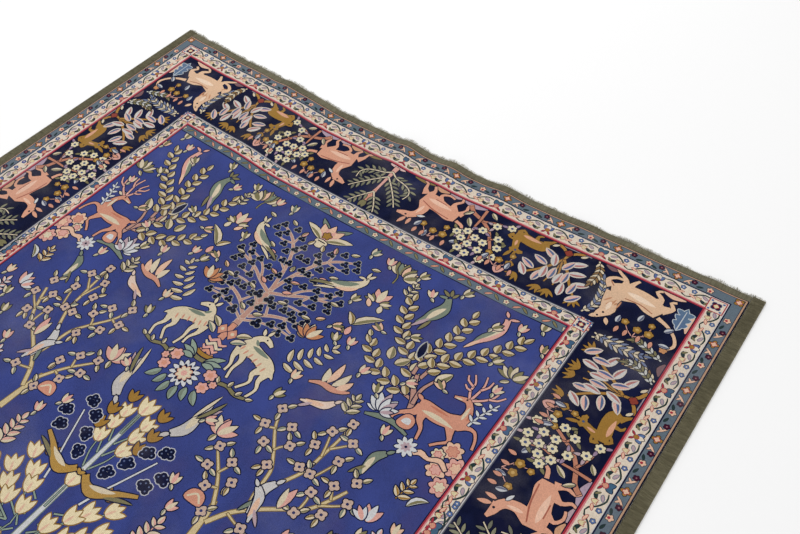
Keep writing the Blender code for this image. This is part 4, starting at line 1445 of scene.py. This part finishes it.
def overcasting():
    """Turns of yarn round a flat band: one flattened loop at each step along the band's middle line."""
    tree = bpy.data.node_groups.new("overcasting", "GeometryNodeTree")
    tree.interface.new_socket("Middle line", in_out="INPUT", socket_type="NodeSocketGeometry")
    tree.interface.new_socket("Loops", in_out="OUTPUT", socket_type="NodeSocketGeometry")
    names = {name: tree_input(tree, name, "NodeSocketFloat", value) for name, value in (
        ("Pitch", WRAP_PITCH), ("Band width", BINDING_WIDTH), ("Band thickness", BAND_THICKNESS),
        ("Yarn", WRAP_THICKNESS), ("Lean", WRAP_LEAN),
    )}
    names["Seed"] = tree_input(tree, "Seed", "NodeSocketInt", 1)
    names["Wool"] = tree_input(tree, "Wool", "NodeSocketMaterial", None)
    given = tree.nodes.new("NodeGroupInput")
    line = add_node(tree, "GeometryNodeMeshToCurve", Mesh=given.outputs["Middle line"])
    spots = add_node(tree, "GeometryNodeCurveToPoints", {"mode": "LENGTH"}, Curve=line.outputs[0],
                     Length=given.outputs["Pitch"])
    across = add_node(tree, "ShaderNodeMath", {"operation": "SUBTRACT"}, i0=given.outputs["Band width"],
                      i1=given.outputs["Yarn"])
    loop = add_node(tree, "GeometryNodeCurvePrimitiveQuadrilateral", {"mode": "RECTANGLE"}, Width=across.outputs[0],
                    Height=given.outputs["Band thickness"])
    rounded = add_node(tree, "GeometryNodeFilletCurve", {"mode": "POLY"}, Curve=loop.outputs[0], Count=2,
                       Radius=BAND_THICKNESS * 0.49)
    yarn = add_node(tree, "GeometryNodeCurvePrimitiveCircle", {"mode": "RADIUS"}, Resolution=4, Radius=WRAP_THICKNESS / 2)
    turn = add_node(tree, "GeometryNodeCurveToMesh", Curve=rounded.outputs[0], Profile_Curve=yarn.outputs[0])
    lean = add_node(tree, "FunctionNodeRandomValue", {"data_type": "FLOAT"}, i2=-WRAP_LEAN, i3=WRAP_LEAN,
                    Seed=given.outputs["Seed"])
    size = add_node(tree, "FunctionNodeRandomValue", {"data_type": "FLOAT_VECTOR"}, i0=(0.97, 0.86, 0.8), i1=(1.0, 1.0, 1.15),
                    Seed=given.outputs["Seed"])
    facing = add_node(tree, "ShaderNodeCombineXYZ", X=math.pi / 2, Z=lean.outputs[1])
    placed = add_node(tree, "GeometryNodeInstanceOnPoints", Points=spots.outputs["Points"], Instance=turn.outputs[0],
                      Rotation=facing.outputs[0], Scale=size.outputs[0])
    real = add_node(tree, "GeometryNodeRealizeInstances", Geometry=placed.outputs[0])
    dyed = add_node(tree, "GeometryNodeSetMaterial", Geometry=real.outputs[0], Material=given.outputs["Wool"])
    add_node(tree, "NodeGroupOutput", Loops=dyed.outputs[0])
    return tree, names


def side_binding(name, side, tree, names):
    """The overcast band of one side: its cords in one flat core, and the turns of wool round it."""
    outer = WIDTH / 2.0 - 0.0004
    us = sorted((side * (outer - BINDING_WIDTH + 0.0012), side * (outer - 0.0012)))
    rows = [*steps(BAND_FROM, 0.3, 0.02), *steps(0.3, LENGTH - BAND_FROM, 0.05)[1:]]
    core = slab(name + "_core", us, rows, lambda u, s: 0.0008, lambda u, s: BAND_THICKNESS - 0.0004, band_finish)
    middle = side * (outer - BINDING_WIDTH / 2)
    downs = np.array([*steps(BAND_FROM + 0.002, 0.3, 0.01), *steps(0.3, LENGTH - BAND_FROM - 0.002, 0.03)[1:]])
    x, y, lift = place(np.full(len(downs), middle), downs)
    base = path_of(name, np.stack([x, y, lift + BAND_THICKNESS / 2 + 0.0002], 1))
    turns = grown(name, base, tree, {names["Seed"]: 3 + int(side), names["Wool"]: band_finish})
    mesh = bmesh.new()
    for part in (turns, core):
        mesh.from_mesh(part.data)
    mesh.to_mesh(turns.data)
    mesh.free()
    bpy.data.objects.remove(core)
    return turns


wrap_tree, wrap_names = overcasting()
left_binding = side_binding("left_binding", -1.0, wrap_tree, wrap_names)
right_binding = side_binding("right_binding", 1.0, wrap_tree, wrap_names)

# ---- The warp ends ---------------------------------------------------------------------------------------------
# The warps were cut close when the rug came off the loom, and the ends have frayed into short wisps of cotton and
# wool. They spread on the floor past the web, thick in some places and worn away in others.

WISP_GAP, WISP_RADIUS = 0.0011, 0.00042


def wisps():
    """Short bent hairs along a line, each turned, tilted and cut at random."""
    tree = bpy.data.node_groups.new("wisps", "GeometryNodeTree")
    tree.interface.new_socket("Edge", in_out="INPUT", socket_type="NodeSocketGeometry")
    tree.interface.new_socket("Wisps", in_out="OUTPUT", socket_type="NodeSocketGeometry")
    names = {name: tree_input(tree, name, "NodeSocketFloat", value) for name, value in (
        ("Gap", WISP_GAP), ("Thickness", WISP_RADIUS), ("Shortest", 0.35), ("Longest", 1.0), ("Heading", 0.0),
        ("Spread", 0.5), ("Rise", 0.14),
    )}
    names["Seed"] = tree_input(tree, "Seed", "NodeSocketInt", 1)
    names["Thread"] = tree_input(tree, "Thread", "NodeSocketMaterial", None)
    given = tree.nodes.new("NodeGroupInput")
    line = add_node(tree, "GeometryNodeMeshToCurve", Mesh=given.outputs["Edge"])
    spots = add_node(tree, "GeometryNodeCurveToPoints", {"mode": "LENGTH"}, Curve=line.outputs[0],
                     Length=given.outputs["Gap"])
    hair = add_node(tree, "GeometryNodeCurvePrimitiveBezierSegment", {"mode": "POSITION"}, Resolution=3,
                    Start=(0.0, 0.0, 0.0), Start_Handle=(0.001, 0.004, 0.0006), End_Handle=(-0.0012, 0.009, 0.0004),
                    End=(0.0008, 0.0135, -0.0002))
    place_on = add_node(tree, "GeometryNodeSplineParameter")
    thin = add_node(tree, "ShaderNodeMapRange", Value=place_on.outputs["Factor"], i3=1.0, i4=0.25)
    tapered = add_node(tree, "GeometryNodeSetCurveRadius", Curve=hair.outputs[0], Radius=thin.outputs[0])
    round_hair = add_node(tree, "GeometryNodeCurvePrimitiveCircle", {"mode": "RADIUS"}, Resolution=3)
    tree.links.new(given.outputs["Thickness"], round_hair.inputs["Radius"])
    drawn_hair = add_node(tree, "GeometryNodeCurveToMesh", Curve=tapered.outputs[0], Profile_Curve=round_hair.outputs[0],
                          Fill_Caps=True)
    where = add_node(tree, "GeometryNodeInputPosition")
    tufts = add_node(tree, "ShaderNodeTexNoise", {"noise_dimensions": "3D"}, Vector=where.outputs[0], Scale=38.0, Detail=2.0)
    lot = add_node(tree, "FunctionNodeRandomValue", {"data_type": "FLOAT"}, i2=0.0, i3=1.0, Seed=given.outputs["Seed"])
    fullness = add_node(tree, "ShaderNodeMapRange", Value=tufts.outputs[0], i1=0.36, i2=0.62, i3=0.0, i4=1.0)
    both = add_node(tree, "ShaderNodeMath", {"operation": "MULTIPLY"}, i0=fullness.outputs[0], i1=lot.outputs[1])
    length = add_node(tree, "ShaderNodeMapRange", Value=both.outputs[0], i3=given.outputs["Shortest"],
                      i4=given.outputs["Longest"])
    spread = add_node(tree, "ShaderNodeMath", {"operation": "MULTIPLY"}, i0=given.outputs["Spread"], i1=-1.0)
    turn = add_node(tree, "FunctionNodeRandomValue", {"data_type": "FLOAT"}, i2=spread.outputs[0],
                    i3=given.outputs["Spread"], Seed=given.outputs["Seed"])
    heading = add_node(tree, "ShaderNodeMath", {"operation": "ADD"}, i0=turn.outputs[1], i1=given.outputs["Heading"])
    rise = add_node(tree, "FunctionNodeRandomValue", {"data_type": "FLOAT"}, i2=-0.05, i3=given.outputs["Rise"],
                    Seed=given.outputs["Seed"])
    facing = add_node(tree, "ShaderNodeCombineXYZ", X=rise.outputs[1], Z=heading.outputs[0])
    placed = add_node(tree, "GeometryNodeInstanceOnPoints", Points=spots.outputs["Points"], Instance=drawn_hair.outputs[0],
                      Rotation=facing.outputs[0], Scale=length.outputs[0])
    real = add_node(tree, "GeometryNodeRealizeInstances", Geometry=placed.outputs[0])
    dyed = add_node(tree, "GeometryNodeSetMaterial", Geometry=real.outputs[0], Material=given.outputs["Thread"])
    add_node(tree, "NodeGroupOutput", Wisps=dyed.outputs[0])
    return tree, names


def frayed_thread():
    """Dusty cotton and wool fibres, from olive at the root to nearly white."""
    finish, shader, where, x, y, z = begin_finish("frayed_thread")
    shades = noise(where, 210.0, 2.0)
    stops = ((0.36, (*linear((122, 118, 98)), 1.0)), (0.50, (*linear((176, 172, 154)), 1.0)),
             (0.64, (*linear((222, 219, 208)), 1.0)))
    colour = where.node("ShaderNodeValToRGB", {"stops": stops}, Fac=shades)
    end_finish(shader, colour, 0.9 + shades * 0.1, noise(where, 2000.0), 0.0002, 0.1, 0.05)
    return finish


thread_finish = frayed_thread()
wisp_tree, wisp_names = wisps()


def row_of_wisps(name, down, height, far_end, seed, finish, **sizes):
    """Wisps along the end, rooted so far down the cloth and so high over the floor."""
    us = steps(-WIDTH / 2 + 0.004, WIDTH / 2 - 0.004, 0.01)
    x, y, lift = place(us, np.full(len(us), down if far_end else LENGTH - down))
    base = path_of(name, np.stack([x, y, lift + height], 1))
    values = {"Seed": seed, "Thread": finish, "Heading": 0.0 if far_end else math.pi, **sizes}
    return grown(name, base, wisp_tree, {wisp_names[label]: value for label, value in values.items()})


def as_one(first, *others):
    """Joins other pieces to the first."""
    mesh = bmesh.new()
    for piece in (first, *others):
        mesh.from_mesh(piece.data)
    mesh.to_mesh(first.data)
    mesh.free()
    for piece in others:
        bpy.data.objects.remove(piece)
    return first


def fringe(name, far_end, seed):
    """The frayed ends of one end of the rug, in two layers, one over the other."""
    return as_one(
        row_of_wisps(name, FRINGE_LENGTH + 0.0012, 0.0012, far_end, seed, thread_finish),
        row_of_wisps(name + "_b", FRINGE_LENGTH + 0.002, 0.0030, far_end, seed + 30, thread_finish, Longest=0.9, Rise=0.05),
    )


far_fringe, near_fringe = fringe("far_fringe", True, 11), fringe("near_fringe", False, 12)

# The web itself has felted: the same short fibres, in its own olive-grey wool, stand out all over it.
for web, far_end in ((far_web, True), (near_web, False)):
    fuzz = [row_of_wisps(f"fuzz_{i}", WEB_START + 0.0035 * i, 0.0026 + 0.0003 * i, far_end, 40 + i, web_finish,
                         Shortest=0.2, Longest=0.62, Spread=1.1, Rise=0.5, Gap=0.0018) for i in (1, 2, 4)]
    as_one(web, *fuzz)

for piece in (left_binding, right_binding, far_fringe, near_fringe, far_web, near_web):
    print(piece.name, len(piece.data.polygons), [m.name if m else None for m in piece.data.materials])

# ---- One body --------------------------------------------------------------------------------------------------
# The pieces are one cloth on one body. The foundation is the sheet that the rest is knotted, woven or sewn on to.

ZONES = [field_pile, inner_guard_pile, main_border_pile, outer_guard_pile]
for piece in (foundation, *ZONES):
    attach(piece, "root")
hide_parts("pile_body")
for piece, node, slot in (
    (far_web, "end_web_top", "web_wool"), (near_web, "end_web_bottom", "web_wool"),
    (left_binding, "binding_left", "binding_wool"), (right_binding, "binding_right", "binding_wool"),
    (far_fringe, "fringe_top", "warp_ends"), (near_fringe, "fringe_bottom", "warp_ends"),
):
    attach(piece, "root")
    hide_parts(node)
